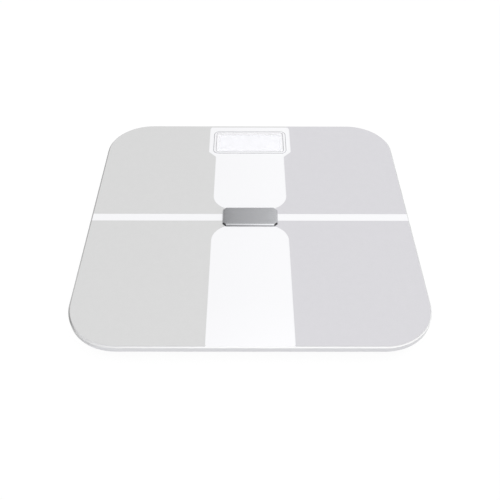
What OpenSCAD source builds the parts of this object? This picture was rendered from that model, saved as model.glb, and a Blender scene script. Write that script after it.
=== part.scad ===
// Digital bathroom scale with a glass platform, four electrode fields and four sprung-steel load cells.
// The origin is on the floor under the middle of the platform. +Y runs towards the display.

/* [Platform] */
// Side-to-side size of the glass platform
platform_w = 300; // [290:1:330]
// Front-to-back size of the glass platform
platform_d = 300; // [290:1:330]
// Radius of the platform's corners in plan
corner_r = 44; // [38:1:50]
// Thickness of the toughened glass
glass_t = 6; // [5:0.5:8]
// Height and width of the polished bevel round the top edge
glass_bevel = 1.1; // [0.6:0.1:2]
// Height and width of the ground arris round the bottom edge
glass_arris = 0.4; // [0.2:0.1:0.8]
// Thickness of the white print on the back of the glass
print_t = 0.1; // [0.1:0.05:0.2]

/* [Electrode fields] */
// Thickness of each conductive field
film_t = 0.15; // [0.1:0.05:0.25]
// Bare glass between a field and the bevel
film_margin = 0.4; // [0.2:0.1:3]
// Width of the white centre panel between the left and right fields
panel_w = 71; // [66:1:76]
// Radius of the centre panel's corners beside the badge
panel_r = 20; // [14:1:22]
// Front-to-back gap between the two halves of the centre panel
panel_gap = 22; // [20:1:24]
// Width of the white stripe between the toe and heel fields
stripe_w = 9.5; // [8:0.5:12]
// Radius of the centre panel's corners at the front edge
panel_end_r = 2; // [1:0.5:4]
// Width of the white surround of the display
surround_w = 86.4; // [84:0.2:90]
// Radius of the surround's corners at the back edge
surround_r = 6.5; // [3:0.5:8]
// Distance from the back edge to the surround's widest front corners
surround_d = 48; // [47:1:52]
// Front-to-back length of the slanted shoulders between surround and panel
shoulder_d = 8.5; // [5:0.1:10]

/* [Badge] */
// Width of the badge's flat top face
badge_w = 48.4; // [46:0.2:56]
// Front-to-back depth of the badge's flat top face
badge_d = 22; // [21:0.5:25]
// Size of the cut corners of the top face
badge_cut = 2.3; // [1:0.1:5]
// Width of the bevel all round the badge
badge_bevel_w = 1.8; // [1:0.1:2.5]
// Height of the bevel all round the badge
badge_bevel_h = 1.3; // [0.8:0.1:1.5]
// Height of the badge from its rim to its top face
badge_h = 1.9; // [1.8:0.1:3]
// Gap between the badge's rim and the fields below it
badge_lift = 0.05; // [0.05:0.05:0.3]
// Thickness of the adhesive pad under the badge
badge_tape_t = 0.5; // [0.5:0.1:1]

/* [Electrode contacts] */
// Side-to-side distance from the centre to each contact
contact_x = 20; // [18:0.5:22]
// Front-to-back distance from the centre to each contact
contact_y = 8; // [7.5:0.1:8.5]
// Diameter of a contact's head
contact_head_d = 3.8; // [3:0.1:4]
// Thickness of a contact's head
contact_head_t = 0.3; // [0.2:0.05:0.3]
// Diameter of a contact's shank
contact_shank_d = 2; // [1.5:0.1:2.4]

/* [Display] */
// Distance from the platform's back edge to the middle of the window
window_back = 31; // [30:0.1:33]
// Width of the visible window
window_w = 70.4; // [64:0.2:71]
// Front-to-back depth of the visible window
window_d = 33; // [29:0.5:34]
// Corner radius of the visible window
window_r = 2.5; // [1.5:0.5:4]
// Width of the bezel's side rails
bezel_side = 3.6; // [3:0.1:4.4]
// Width of the bezel's front and back rails
bezel_end = 3.4; // [3:0.1:4.2]
// Height that the bezel stands above the glass
bezel_proud = 0.5; // [0.3:0.1:1]
// Thickness of the bezel's lip over the lens
bezel_lip = 0.8; // [0.6:0.1:1]
// Overlap of the bezel's lip on the lens
lens_lap = 0.9; // [0.7:0.1:1.1]
// Thickness of the clear lens
lens_t = 1.2; // [1:0.1:1.5]
// Thickness of the liquid crystal panel
lcd_t = 2.7; // [2:0.1:2.8]
// Thickness of the backlight's light guide
backlight_t = 2.2; // [1.6:0.1:2.4]

/* [Base] */
// Inset of the base from the edge of the glass
base_inset = 6; // [6:0.5:8]
// Clearance between the base's underside and the floor
base_lift = 4.5; // [4:0.1:6]
// Height of the base from its underside to its rim
base_h = 13.8; // [13.8:0.1:16]
// Thickness of the base's wall and floor
wall = 2; // [1.6:0.1:2.4]
// Radius of the base's rounded lower edge
base_round = 10; // [8:0.5:10]
// Thickness of the stiffening ribs
rib_t = 1.4; // [1:0.1:1.8]
// Spacing of the stiffening ribs
rib_pitch = 27; // [26:0.5:28]
// Height of the stiffening ribs above the floor
rib_h = 8.5; // [6:0.5:8.5]
// Width of the foam tape on the rim
tape_w = 8; // [6:0.5:8]
// Thickness of the foam tape
tape_t = 0.6; // [0.5:0.1:1.2]

/* [Feet] */
// Diameter of each foot
foot_d = 28; // [26:0.5:28]
// Distance from the base's side to the middle of each foot
foot_inset = 42; // [40:0.5:44]
// Free play of each foot below its load cell
foot_float = 0.8; // [0.5:0.1:1]
// Wall of each foot cup
foot_wall = 1.5; // [1.2:0.1:1.8]
// Width of the flange that keeps each foot in
foot_flange_w = 2.5; // [2:0.1:2.5]
// Thickness of the flange that keeps each foot in
foot_flange_t = 1.2; // [1:0.1:1.4]
// Thickness of each foot's web over its pad
foot_web = 1.6; // [1.2:0.1:2]
// Thickness of each rubber foot pad
pad_t = 2.4; // [2:0.1:3]
// Depth of the recess that each pad sits in
pad_seat = 1.4; // [1:0.1:1.6]
// Number of stiffening ribs in each foot cup
foot_ribs = 6; // [4:1:8]

/* [Load cells] */
// Side of each square load cell
cell_w = 34; // [32:0.5:34.5]
// Thickness of each load cell's steel
cell_t = 1.5; // [1.2:0.1:1.6]
// Corner radius of each load cell
cell_r = 4; // [3:0.5:5]
// Height of each load cell above the base's underside
cell_z = 5.5; // [5.5:0.1:5.8]
// Width of each load cell's outer frame
cell_frame = 4.5; // [4:0.1:5]
// Width of the slot round each load cell's tongue
cell_slot = 2.2; // [1.5:0.1:2.5]
// Side of each pocket that holds a load cell
pocket_w = 45.4; // [45.4:0.2:46.4]
// Thickness of each pocket's walls
pocket_wall = 2.2; // [1.6:0.1:2.4]

/* [Battery bay] */
// Distance from the window's middle to the middle of the bay
bay_back = 73; // [72.4:0.1:74.8]
// Diameter of one cell
battery_d = 10.5; // [10.1:0.1:10.5]
// Length of one cell with its button
battery_len = 44.5; // [43.5:0.1:44.5]
// Spacing between the cells
battery_pitch = 11.2; // [11:0.1:11.4]
// Length of a compressed contact spring
spring_len = 5.3; // [4:0.1:6]
// Thickness of the bay's walls
bay_wall = 1.5; // [1.2:0.1:1.8]
// Thickness of the bay's roof
bay_roof = 1.2; // [1:0.1:1.4]
// Thickness of the battery door
door_t = 1.6; // [1.4:0.1:1.8]
// Width of the ledge on which the door's ends rest
door_ledge = 3; // [2.5:0.1:4]

/* [Controller] */
// Width of the main board
board_w = 92; // [90:1:94]
// Front-to-back depth of the main board
board_d = 40; // [39.5:0.1:40.5]
// Thickness of the main board
board_t = 1.6; // [1:0.1:1.6]
// Drop from the base's rim to the top of the main board
board_drop = 1.7; // [1.7:0.1:2.4]
// Diameter of the unit button
button_d = 9; // [7:0.5:10]
// Travel of the unit button
button_travel = 0.5; // [0.3:0.1:0.8]
// Diameter of each wire over its insulation
wire_d = 1.1; // [0.8:0.1:1.1]

/* [Fasteners and fits] */
// Shank diameter of the screws
screw_d = 2.2; // [2:0.1:2.4]
// Head diameter of the screws
screw_head_d = 4.2; // [3.8:0.1:4.4]
// Head height of the screws
screw_head_h = 1.2; // [1:0.1:1.3]
// Diameter of the screw bosses
boss_d = 6; // [5:0.1:6]
// Side clearance between pieces that move or drop in
clearance = 0.3; // [0.2:0.05:0.4]
// Side clearance between pieces that are seated for good
seat = 0.1; // [0.05:0.05:0.15]

/* [Hidden] */
$fn = 72;
cut = 0.5; // length by which a cutting solid runs past the face it cuts
battery_count = 3;
contact_t = 0.4;     // sheet metal of the battery contacts
contact_tail_t = 0.5; // riveted-over end of each electrode contact
screw_play = 0.2;    // clearance round a screw's shank in the piece it clamps
head_play = 0.25;    // clearance round a sunk screw head
screw_l = 6;         // shank length of every screw

// Heights, from the floor up
z_base = base_lift;
z_floor = z_base + wall;
z_rim = z_base + base_h;
z_print = z_rim + tape_t;
z_glass = z_print + print_t;
z_top = z_glass + glass_t;
z_film = z_top + film_t;
z_badge = z_film + badge_lift;
z_rib = z_floor + rib_h;
z_board = z_rim - board_drop;
z_cell = z_base + cell_z;

// Plan sizes of the base
base_w = platform_w - 2 * base_inset;
base_d = platform_d - 2 * base_inset;
base_r = corner_r - base_inset;
foot_x = base_w / 2 - foot_inset;
foot_y = base_d / 2 - foot_inset;
window_y = platform_d / 2 - window_back;
bay_y = window_y - bay_back;

// Left is -1 and right is +1, heel is -1 and toe is +1
TOE = 1;
HEEL = -1;
LEFT = -1;
RIGHT = 1;

// ---------------------------------------------------------------- shared shapes

// Rectangle of w by d with corner radius r, centred
module rounded_rect(w, d, r) {
  square([w - 2 * r, d], center = true);
  square([w, d - 2 * r], center = true);
  for (x = [-1, 1], y = [-1, 1])
    translate([x * (w / 2 - r), y * (d / 2 - r)]) circle(r);
}

// Upright plate with a rounded outline, from z0 to z1
module rounded_plate(w, d, r, z0, z1) {
  translate([0, 0, z0]) linear_extrude(z1 - z0) rounded_rect(w, d, r);
}

// Half section of a slab with bevelled edges: low at the bottom, high at the top
module bevelled_section(reach, z0, z1, low, high) {
  polygon([
    [0, z0], [reach - low, z0], [reach, z0 + low],
    [reach, z1 - high], [reach - high, z1], [0, z1]
  ]);
}

// Half section of a slab whose lower edge is a quarter round of radius soft
module rounded_section(reach, z0, z1, soft) {
  translate([0, z0]) square([reach - soft, z1 - z0]);
  translate([0, z0 + soft]) square([reach, z1 - z0 - soft]);
  intersection() {
    translate([reach - soft, z0 + soft]) circle(soft);
    translate([reach - soft, z0]) square([soft, soft]);
  }
}

// The same bevelled section carried round a rounded rectangle
module bevelled_slab(w, d, r, z0, z1, low, high) {
  for (x = [-1, 1], y = [-1, 1])
    translate([x * (w / 2 - r), y * (d / 2 - r), 0])
      rotate_extrude() bevelled_section(r, z0, z1, low, high);
  rotate([90, 0, 0]) linear_extrude(d - 2 * r, center = true)
    for (side = [0, 1]) mirror([side, 0]) bevelled_section(w / 2, z0, z1, low, high);
  rotate([90, 0, 90]) linear_extrude(w - 2 * r, center = true)
    for (side = [0, 1]) mirror([side, 0]) bevelled_section(d / 2, z0, z1, low, high);
}

// The rounded section carried round a rounded rectangle
module rounded_slab(w, d, r, z0, z1, soft) {
  for (x = [-1, 1], y = [-1, 1])
    translate([x * (w / 2 - r), y * (d / 2 - r), 0])
      rotate_extrude() rounded_section(r, z0, z1, soft);
  rotate([90, 0, 0]) linear_extrude(d - 2 * r, center = true)
    for (side = [0, 1]) mirror([side, 0]) rounded_section(w / 2, z0, z1, soft);
  rotate([90, 0, 90]) linear_extrude(w - 2 * r, center = true)
    for (side = [0, 1]) mirror([side, 0]) rounded_section(d / 2, z0, z1, soft);
}

// Round bar of diameter d from z0 to z1
module post(d, z0, z1) {
  translate([0, 0, z0]) cylinder(h = z1 - z0, d = d);
}

// Box given by its lowest and highest corners
module box(low, high) {
  translate(low) cube(high - low);
}

// Rectangle with cut corners, centred
function cut_rect(w, d, c) = [
  [c - w / 2, -d / 2], [w / 2 - c, -d / 2], [w / 2, c - d / 2], [w / 2, d / 2 - c],
  [w / 2 - c, d / 2], [c - w / 2, d / 2], [-w / 2, d / 2 - c], [-w / 2, c - d / 2]
];

// Places a corner's pieces at its foot, with local +X pointing outwards
module at_corner(side, end) {
  translate([side * foot_x, end * foot_y, 0]) mirror([side < 0 ? 1 : 0, 0, 0]) children();
}

// Self-tapping screw with a cross recess, its head's seat at z = 0 and its shank going down
module screw() {
  recess_w = 0.6;
  recess_l = 2.4;
  difference() {
    union() {
      post(screw_head_d, 0, screw_head_h);
      post(screw_d, -screw_l, 0);
    }
    for (turn = [0, 90]) rotate([0, 0, turn]) translate([0, 0, screw_head_h])
      cube([recess_l, recess_w, screw_head_h], center = true);
  }
}

// ---------------------------------------------------------------- wires

WIRE_SIDES = 8;

function unit(v) = v / norm(v);

// Route with each inner corner eased by three points, so that a wire bends instead of kinking
function eased(route, ease) = [
  route[0],
  for (i = [1 : len(route) - 2])
    let (
      p = route[i],
      back = min(ease, norm(route[i - 1] - p) / 2),
      ahead = min(ease, norm(route[i + 1] - p) / 2),
      a = p + back * unit(route[i - 1] - p),
      b = p + ahead * unit(route[i + 1] - p)
    )
    each [a, (a + 2 * p + b) / 4, b],
  route[len(route) - 1]
];

// Points of the circle of diameter d round p, square to the direction t
function ring(p, t, d) = let (
  side = unit(cross(t, [0, 0, 1])),
  up = cross(side, t)
) [for (k = [0 : WIRE_SIDES - 1])
    let (a = 360 * k / WIRE_SIDES) p + d / 2 * (cos(a) * side + sin(a) * up)];

// Wire of diameter d along a route of points
module wire(route, d, ease = 3) {
  pts = eased(route, ease);
  last = len(pts) - 1;
  n = WIRE_SIDES;
  tangent = [for (i = [0 : last]) unit(pts[min(i + 1, last)] - pts[max(i - 1, 0)])];
  points = [for (i = [0 : last]) each ring(pts[i], tangent[i], d)];
  skin = [for (i = [0 : last - 1], k = [0 : n - 1])
    let (a = i * n + k, b = i * n + (k + 1) % n) each [[a, a + n, b], [b, a + n, b + n]]];
  start = [for (k = [1 : n - 2]) [0, k, k + 1]];
  end = [for (k = [1 : n - 2]) [last * n, last * n + k + 1, last * n + k]];
  polyhedron(points, concat(skin, start, end));
}

// ---------------------------------------------------------------- platform

bezel_lap = 1.2;     // overlap of the bezel's flange on the glass
cutout_ease = 1.5;   // added to the window's corner radius for the cut-out's
cutout_w = window_w + 2 * (bezel_side - bezel_lap);
cutout_d = window_d + 2 * (bezel_end - bezel_lap);
cutout_r = window_r + cutout_ease;

// Cuts what lies in the display's cut-out and in the four contact holes
module platform_holes(z0, z1) {
  translate([0, window_y, 0]) rounded_plate(cutout_w, cutout_d, cutout_r, z0, z1);
  contact_places() post(contact_shank_d + 2 * seat, z0, z1);
}

module contact_places() {
  for (x = [-1, 1], y = [-1, 1]) translate([x * contact_x, y * contact_y, 0]) children();
}

module glass_platform() {
  color([0.86, 0.9, 0.9]) difference() {
    bevelled_slab(platform_w, platform_d, corner_r, z_glass, z_top, glass_arris, glass_bevel);
    platform_holes(z_glass - cut, z_top + cut);
  }
}

field_inset = glass_bevel + film_margin;
tip_in = contact_x - 6; // inner end of each field's tip, under the badge

module back_print() {
  color("white") difference() {
    rounded_plate(platform_w - 2 * field_inset, platform_d - 2 * field_inset, corner_r - field_inset,
      z_print, z_glass);
    platform_holes(z_print - cut, z_glass + cut);
  }
}

// The white centre panel, which the four fields leave bare
module centre_panel_outline() {
  past = 0.3; // runs past the fields' outer edge, so that no sliver of field is left
  edge = platform_d / 2 - field_inset + past;
  wide = panel_w / 2;
  surround = surround_w / 2;
  corner_y = panel_gap / 2 + panel_r;
  shoulder_y = platform_d / 2 - surround_d;
  for (end = [TOE, HEEL]) scale([1, end]) {
    for (x = [-1, 1]) translate([x * (wide - panel_r), corner_y]) circle(panel_r);
    translate([panel_r - wide, panel_gap / 2]) square([2 * (wide - panel_r), panel_r]);
  }
  translate([-wide, corner_y]) square([2 * wide, shoulder_y - corner_y]);
  translate([-wide, panel_end_r - edge]) square([2 * wide, edge - panel_end_r - corner_y]);
  translate([panel_end_r - wide, -edge]) square([2 * (wide - panel_end_r), 2 * panel_end_r]);
  for (x = [-1, 1]) translate([x * (wide - panel_end_r), panel_end_r - edge]) circle(panel_end_r);
  polygon([
    [-wide, shoulder_y - shoulder_d], [wide, shoulder_y - shoulder_d],
    [surround, shoulder_y], [-surround, shoulder_y]
  ]);
  translate([-surround, shoulder_y]) square([2 * surround, edge - surround_r - shoulder_y]);
  translate([surround_r - surround, shoulder_y])
    square([2 * (surround - surround_r), edge - shoulder_y]);
  for (x = [-1, 1]) translate([x * (surround - surround_r), edge - surround_r]) circle(surround_r);
}

// One electrode field: a quarter of the platform, less the white panel and stripe
module electrode(side, end) {
  color([0.85, 0.85, 0.86]) translate([0, 0, z_top]) linear_extrude(film_t) difference() {
    intersection() {
      rounded_rect(platform_w - 2 * field_inset, platform_d - 2 * field_inset, corner_r - field_inset);
      scale([side, end]) translate([tip_in, stripe_w / 2]) square([platform_w, platform_d] / 2);
    }
    centre_panel_outline();
    translate([side * contact_x, end * contact_y]) circle(d = contact_shank_d + 2 * seat);
  }
}

// ---------------------------------------------------------------- badge and contacts

badge_recess = badge_tape_t - film_t - badge_lift;

module centre_badge() {
  rim_w = badge_w + 2 * badge_bevel_w;
  rim_d = badge_d + 2 * badge_bevel_w;
  rim_cut = badge_cut + badge_bevel_w * (2 - sqrt(2));
  skirt = badge_h - badge_bevel_h;
  color([0.66, 0.67, 0.69]) translate([0, 0, z_badge]) difference() {
    hull() {
      linear_extrude(skirt) polygon(cut_rect(rim_w, rim_d, rim_cut));
      linear_extrude(badge_h) polygon(cut_rect(badge_w, badge_d, badge_cut));
    }
    translate([0, 0, -cut]) linear_extrude(badge_recess + cut)
      polygon(cut_rect(badge_w, badge_d, badge_cut));
  }
}

module badge_tape() {
  gap = 0.5; // to the tips of the fields
  margin = 1;
  color("gray")
    rounded_plate(2 * (tip_in - gap), badge_d - 2 * margin, margin, z_top, z_top + badge_tape_t);
}

module electrode_contacts() {
  color("gold") contact_places() {
    post(contact_head_d, z_film, z_film + contact_head_t);
    post(contact_shank_d, z_print - contact_tail_t, z_film + contact_head_t);
    post(contact_head_d, z_print - contact_tail_t, z_print);
  }
}

// ---------------------------------------------------------------- display

z_lens = z_top + bezel_proud - bezel_lip - lens_t;
panel_air = 0.2;     // air between the lens and the liquid crystal panel
z_lcd = z_lens - panel_air - lcd_t;
lens_w = window_w + 2 * lens_lap;
lens_d = window_d + 2 * lens_lap;
barrel_w = cutout_w - 2 * clearance;
barrel_d = cutout_d - 2 * clearance;
barrel_gap = 0.15;   // between the bezel's barrel and what lies inside it
lens_r = 0.4;
bezel_edge = 0.2;    // bevel of the bezel's top edge
bezel_arris = 0.05;

module display_bezel() {
  low = z_glass + clearance;
  color("white") translate([0, window_y, 0]) difference() {
    union() {
      bevelled_slab(window_w + 2 * bezel_side, window_d + 2 * bezel_end, window_r + bezel_side,
        z_top, z_top + bezel_proud, bezel_arris, bezel_edge);
      rounded_plate(barrel_w, barrel_d, cutout_r - clearance, low, z_top + cut / 2);
    }
    rounded_plate(window_w, window_d, window_r, low, z_top + bezel_proud + cut);
    rounded_plate(lens_w + 2 * barrel_gap, lens_d + 2 * barrel_gap, lens_r,
      low - cut, z_lens + lens_t);
  }
}

module display_lens() {
  color([0.93, 0.95, 0.97, 0.6]) translate([0, window_y, 0])
    rounded_plate(lens_w, lens_d, lens_r, z_lens, z_lens + lens_t);
}

lcd_glass_t = 1.1;   // each of the two glass sheets of the liquid crystal panel
lcd_ledge = 2.6;     // width of the bare contact ledge along the panel's front
z_sheet = z_lcd + lcd_t - lcd_glass_t; // underside of the panel's upper sheet

module lcd_panel() {
  color([0.93, 0.94, 0.93]) translate([0, window_y, 0]) {
    box([-lens_w / 2, lcd_ledge - lens_d / 2, z_lcd], [lens_w / 2, lens_d / 2, z_sheet]);
    box([-lens_w / 2, -lens_d / 2, z_sheet], [lens_w / 2, lens_d / 2, z_lcd + lcd_t]);
  }
}

light_w = lens_w - 2 * 6; // the light guide leaves a wall 6 mm wide at each end of its holder
light_d = lens_d - 2 * 4; // and one 4 mm wide, on average, at the front and back
light_y = window_y + 1;   // the front wall is the wider one, for the zebra strip's slot

// Light guide under the liquid crystal panel, grown by gap and running past its top by over
module light_guide(gap, over) {
  translate([0, light_y, 0])
    box([-light_w / 2 - gap, -light_d / 2 - gap, z_lcd - backlight_t],
        [light_w / 2 + gap, light_d / 2 + gap, z_lcd + over]);
}

module lcd_backlight() {
  color([0.97, 0.98, 1]) light_guide(0, 0);
}

zebra_w = lens_w - 6;
zebra_t = 1.6;
zebra_y = window_y + (lcd_ledge - lens_d) / 2;

// Striped rubber connector from the board to the panel's bare ledge, grown by gap
module zebra_bar(z0, z1, gap) {
  translate([0, zebra_y, 0])
    box([-zebra_w / 2 - gap, -zebra_t / 2 - gap, z0], [zebra_w / 2 + gap, zebra_t / 2 + gap, z1]);
}

module zebra_strip() {
  color([0.9, 0.55, 0.6]) zebra_bar(z_board, z_sheet, 0);
}

// Frame between the board and the liquid crystal panel, with a well for the backlight
module lcd_holder() {
  color([0.92, 0.92, 0.9]) difference() {
    translate([0, window_y, 0]) rounded_plate(lens_w, lens_d, lens_r, z_board, z_lcd);
    light_guide(seat, cut);
    zebra_bar(z_board - cut, z_lcd + cut, seat);
  }
}

// ---------------------------------------------------------------- controller

board_shift = 3.45;  // from the window's middle forwards to the board's middle
board_y = window_y - board_shift;
board_front = board_y - board_d / 2;
board_under = z_board - board_t;
board_r = 2;
button_in = 16;      // from the board's end to the unit button
button_x = board_w / 2 - button_in;
button_y = board_y - 4;
switch_w = 6;
switch_h = 3.5;
plunger_d = 3.5;
plunger_play = 0.2;  // round the plunger in its switch
plunger_gap = 0.1;   // over the plunger at the end of its travel
plunger_proud = 1;
z_plunger = board_under - switch_h - plunger_proud;
z_switch_floor = board_under - plunger_proud;

// Middles of the four board screws, two near the front edge and two at the back, midway between the
// display's holder and the board's ends
front_screw_x = 24;
back_screw_x = (lens_w + board_w) / 4;
front_screw_in = 3;
back_screw_in = 4;
board_screw_places = [for (x = [-1, 1]) each [
  [x * front_screw_x, board_front + front_screw_in], [x * back_screw_x, board_front + board_d - back_screw_in]
]];

// Box-shaped parts under the board: middle x and y from the board's middle, width, depth and height
CHIPS = [
  [-32, -4, 12, 16, 1.8], // radio module
  [-21.5, 11.8, 5, 3.5, 2], // crystal
  [15.5, 5.5, 3, 3, 1.1], // regulator
  [3, -5.4, 2, 1.2, 0.9], [9, -5.4, 2, 1.2, 0.9], [15, -5.4, 2, 1.2, 0.9] // capacitors
];
epoxy_x = -12;
epoxy_d = 13;
capacitor_x = 6;

module main_board() {
  color([0.1, 0.42, 0.22]) difference() {
    translate([0, board_y, 0]) rounded_plate(board_w, board_d, board_r, board_under, z_board);
    for (p = board_screw_places) translate(p)
      post(screw_d + 2 * screw_play, board_under - cut, z_board + cut);
  }
}

// Parts soldered under the board: the controller under its drop of epoxy, a round capacitor, the chips
module board_components() {
  flat = 0.25; // height of the epoxy drop's sphere over its width
  color([0.13, 0.13, 0.14]) translate([0, board_y, board_under]) {
    translate([epoxy_x, 2, 0]) difference() {
      scale([1, 1, flat]) sphere(d = epoxy_d);
      post(epoxy_d + 1, 0, epoxy_d);
    }
    translate([capacitor_x, 8, 0]) post(3, -2.6, 0);
    for (c = CHIPS) translate([c[0] - c[2] / 2, c[1] - c[3] / 2, -c[4]]) cube([c[2], c[3], c[4]]);
  }
}

module board_screws() {
  color("silver") for (p = board_screw_places)
    translate([p[0], p[1], z_board]) screw();
}

module unit_switch() {
  color([0.2, 0.2, 0.21]) translate([button_x, button_y, 0]) difference() {
    box([-switch_w / 2, -switch_w / 2, board_under - switch_h], [switch_w / 2, switch_w / 2, board_under]);
    post(plunger_d + 2 * plunger_play, board_under - switch_h - cut, z_switch_floor);
  }
}

module switch_plunger() {
  color([0.95, 0.95, 0.93]) translate([button_x, button_y, 0])
    post(plunger_d, z_plunger, z_switch_floor - button_travel - plunger_gap);
}

button_sunk = 0.3;     // from the base's underside up to the button's face
button_soft = 0.4;     // bevel of the button's face
button_out = button_d + 3;
button_flange_t = 1;
button_lap = 0.2;      // of the button's body into its flange

module unit_button() {
  face = z_base + button_sunk;
  color([0.35, 0.36, 0.38]) translate([button_x, button_y, 0]) {
    translate([0, 0, face]) rotate_extrude()
      bevelled_section(button_d / 2, 0, z_floor - face + button_lap, button_soft, button_lap / 2);
    post(button_out, z_floor, z_floor + button_flange_t);
    post(button_d / 2, z_floor, z_plunger);
  }
}

// Wall on the floor that guides the button's flange
module button_guide() {
  translate([button_x, button_y, 0]) difference() {
    post(button_out + 4, z_base, z_floor + 3);
    post(button_out + 2 * clearance, z_base, z_floor + 4);
  }
}

// ---------------------------------------------------------------- base

bay_play = 0.35;     // between the outer cells and the bay's sides
bay_in_w = battery_len + spring_len + 2 * contact_t;
bay_in_d = (battery_count - 1) * battery_pitch + battery_d + 2 * bay_play;
bay_w = bay_in_w + 2 * bay_wall;
bay_d = bay_in_d + 2 * bay_wall;
bay_out_r = 1.5;
door_open_w = bay_in_w + 2 * door_ledge;
door_open_d = bay_in_d + 2 * door_ledge;
door_r = 0.8;
hinge_y = bay_y - door_open_d / 2;
z_door_top = z_base + door_t;
z_bay_roof = z_rim - bay_roof;
step_t = 1.2;        // skin of the base over the door's ledge

rim_in = 2.5 * wall + 1.5; // distance from the base's side to the inner rim rib

module base_cavity() {
  rounded_slab(base_w - 2 * wall, base_d - 2 * wall, base_r - wall, z_floor, z_rim + cut, base_round - wall);
}

// Grid of low ribs over the whole floor
module rib_grid() {
  across = floor((base_w / 2 - rib_pitch / 2) / rib_pitch);
  along = floor((base_d / 2 - rib_pitch / 2) / rib_pitch);
  for (i = [-across - 1 : across]) let (x = (i + 0.5) * rib_pitch)
    box([x - rib_t / 2, -base_d / 2, z_base], [x + rib_t / 2, base_d / 2, z_rib]);
  for (j = [-along - 1 : along]) let (y = (j + 0.5) * rib_pitch)
    box([-base_w / 2, y - rib_t / 2, z_base], [base_w / 2, y + rib_t / 2, z_rib]);
}

// Full-height rib inside the wall, and the short webs that tie it to the wall
module rim_ribs() {
  span = base_w - 2 * rim_in;
  depth = base_d - 2 * rim_in;
  corner = base_r - rim_in;
  difference() {
    rounded_plate(span, depth, corner, z_base, z_rim);
    rounded_plate(span - 2 * rib_t, depth - 2 * rib_t, corner - rib_t, z_base - cut, z_rim + cut);
  }
  webs = floor((base_w / 2 - base_r) / rib_pitch);
  for (i = [-webs : webs], s = [-1, 1]) {
    x = i * rib_pitch;
    y0 = base_d / 2 - rim_in - rib_t / 2;
    scale([1, s, 1]) box([x - rib_t / 2, y0, z_base], [x + rib_t / 2, base_d / 2 - wall / 2, z_rim]);
    x0 = base_w / 2 - rim_in - rib_t / 2;
    scale([s, 1, 1]) box([x0, x - rib_t / 2, z_base], [base_w / 2 - wall / 2, x + rib_t / 2, z_rim]);
  }
}

pocket_out = pocket_w + 2 * pocket_wall;
pocket_r = 4;
cell_room = 1.5;     // over the load cell, for its tongue, gauge and wires
pocket_top = z_cell + cell_t + cell_room;
pocket_roof = 1.6;
roof_rib_pitch = 12;
roof_rib_l = pocket_out - 8;
lead_y = 3.3;        // offset of the wires from the pocket's middle
lead_pitch = 1.3;

// Outer walls and roof of a load cell's pocket, with the crossed ribs that bear on the glass
module pocket_block() {
  rounded_plate(pocket_out, pocket_out, pocket_r + pocket_wall, z_base, pocket_top + pocket_roof);
  for (turn = [0, 90], p = [-1, 0, 1]) rotate([0, 0, turn]) translate([p * roof_rib_pitch, 0, 0])
    box([-rib_t / 2, -roof_rib_l / 2, pocket_top], [rib_t / 2, roof_rib_l / 2, z_rim]);
}

boss_off = pocket_w / 2 - boss_d / 2 - 0.4; // each screw boss just clears the pocket's walls
seat_w = 7;          // square seats over the load cell's corners
seat_off = (cell_w - seat_w) / 2;
stop_x = 8;          // the eight stops beside the load cell, from the middle of each side
stop_w = 3;
stop_lift = 0.2;     // of the stops' ends over the load cell's underside

// Places something at both of a pocket's screws
module at_bosses() {
  for (s = [-1, 1]) translate([s * boss_off, -s * boss_off, 0]) children();
}

// Inside of a pocket: room for the cell, less its seats, stops and screw bosses
module pocket_room() {
  notch_w = 5.2;
  notch_h = 1.7;
  difference() {
    rounded_plate(pocket_w, pocket_w, pocket_r, z_base - cut, pocket_top);
    for (x = [-1, 1], y = [-1, 1]) translate([x * seat_off, y * seat_off, 0])
      box([-seat_w / 2, -seat_w / 2, z_cell + cell_t], [seat_w / 2, seat_w / 2, pocket_top + cut]);
    at_bosses() post(boss_d, z_floor, pocket_top + cut);
    for (turn = [0 : 90 : 270], y = [-stop_x, stop_x]) rotate([0, 0, turn]) translate([0, y, 0])
      box([cell_w / 2 + 2 * seat, -stop_w / 2, z_cell + stop_lift],
          [pocket_w / 2 + cut, stop_w / 2, pocket_top + cut]);
  }
  at_bosses() post(screw_d + seat, z_floor - cut, pocket_top - 1);
  translate([-pocket_w / 2, lead_y, 0])
    box([-pocket_wall - cut, -notch_w / 2, pocket_top - notch_h], [cut, notch_w / 2, pocket_top]);
}

// Outside of the battery bay, with a step in the floor over the door's ledge
module bay_block() {
  translate([0, bay_y, 0]) {
    rounded_plate(bay_w, bay_d, bay_out_r, z_base, z_rim);
    rounded_plate(door_open_w + 2 * wall, door_open_d + 2 * wall, bay_out_r, z_base, z_door_top + step_t);
  }
}

tab_x = 15;          // middle of each of the door's two tabs
tab_w = 6;
tab_t = 1.2;
tab_lap = 1.8;       // reach of a tab over the base's floor
tab_play = 1;        // beside a tab in its window
tab_swing = 6;       // depth of the window that a tab swings out through
latch_w = 10;
latch_h = 3;
latch_t = 1.2;
cell_lead_x = 15;

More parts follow.
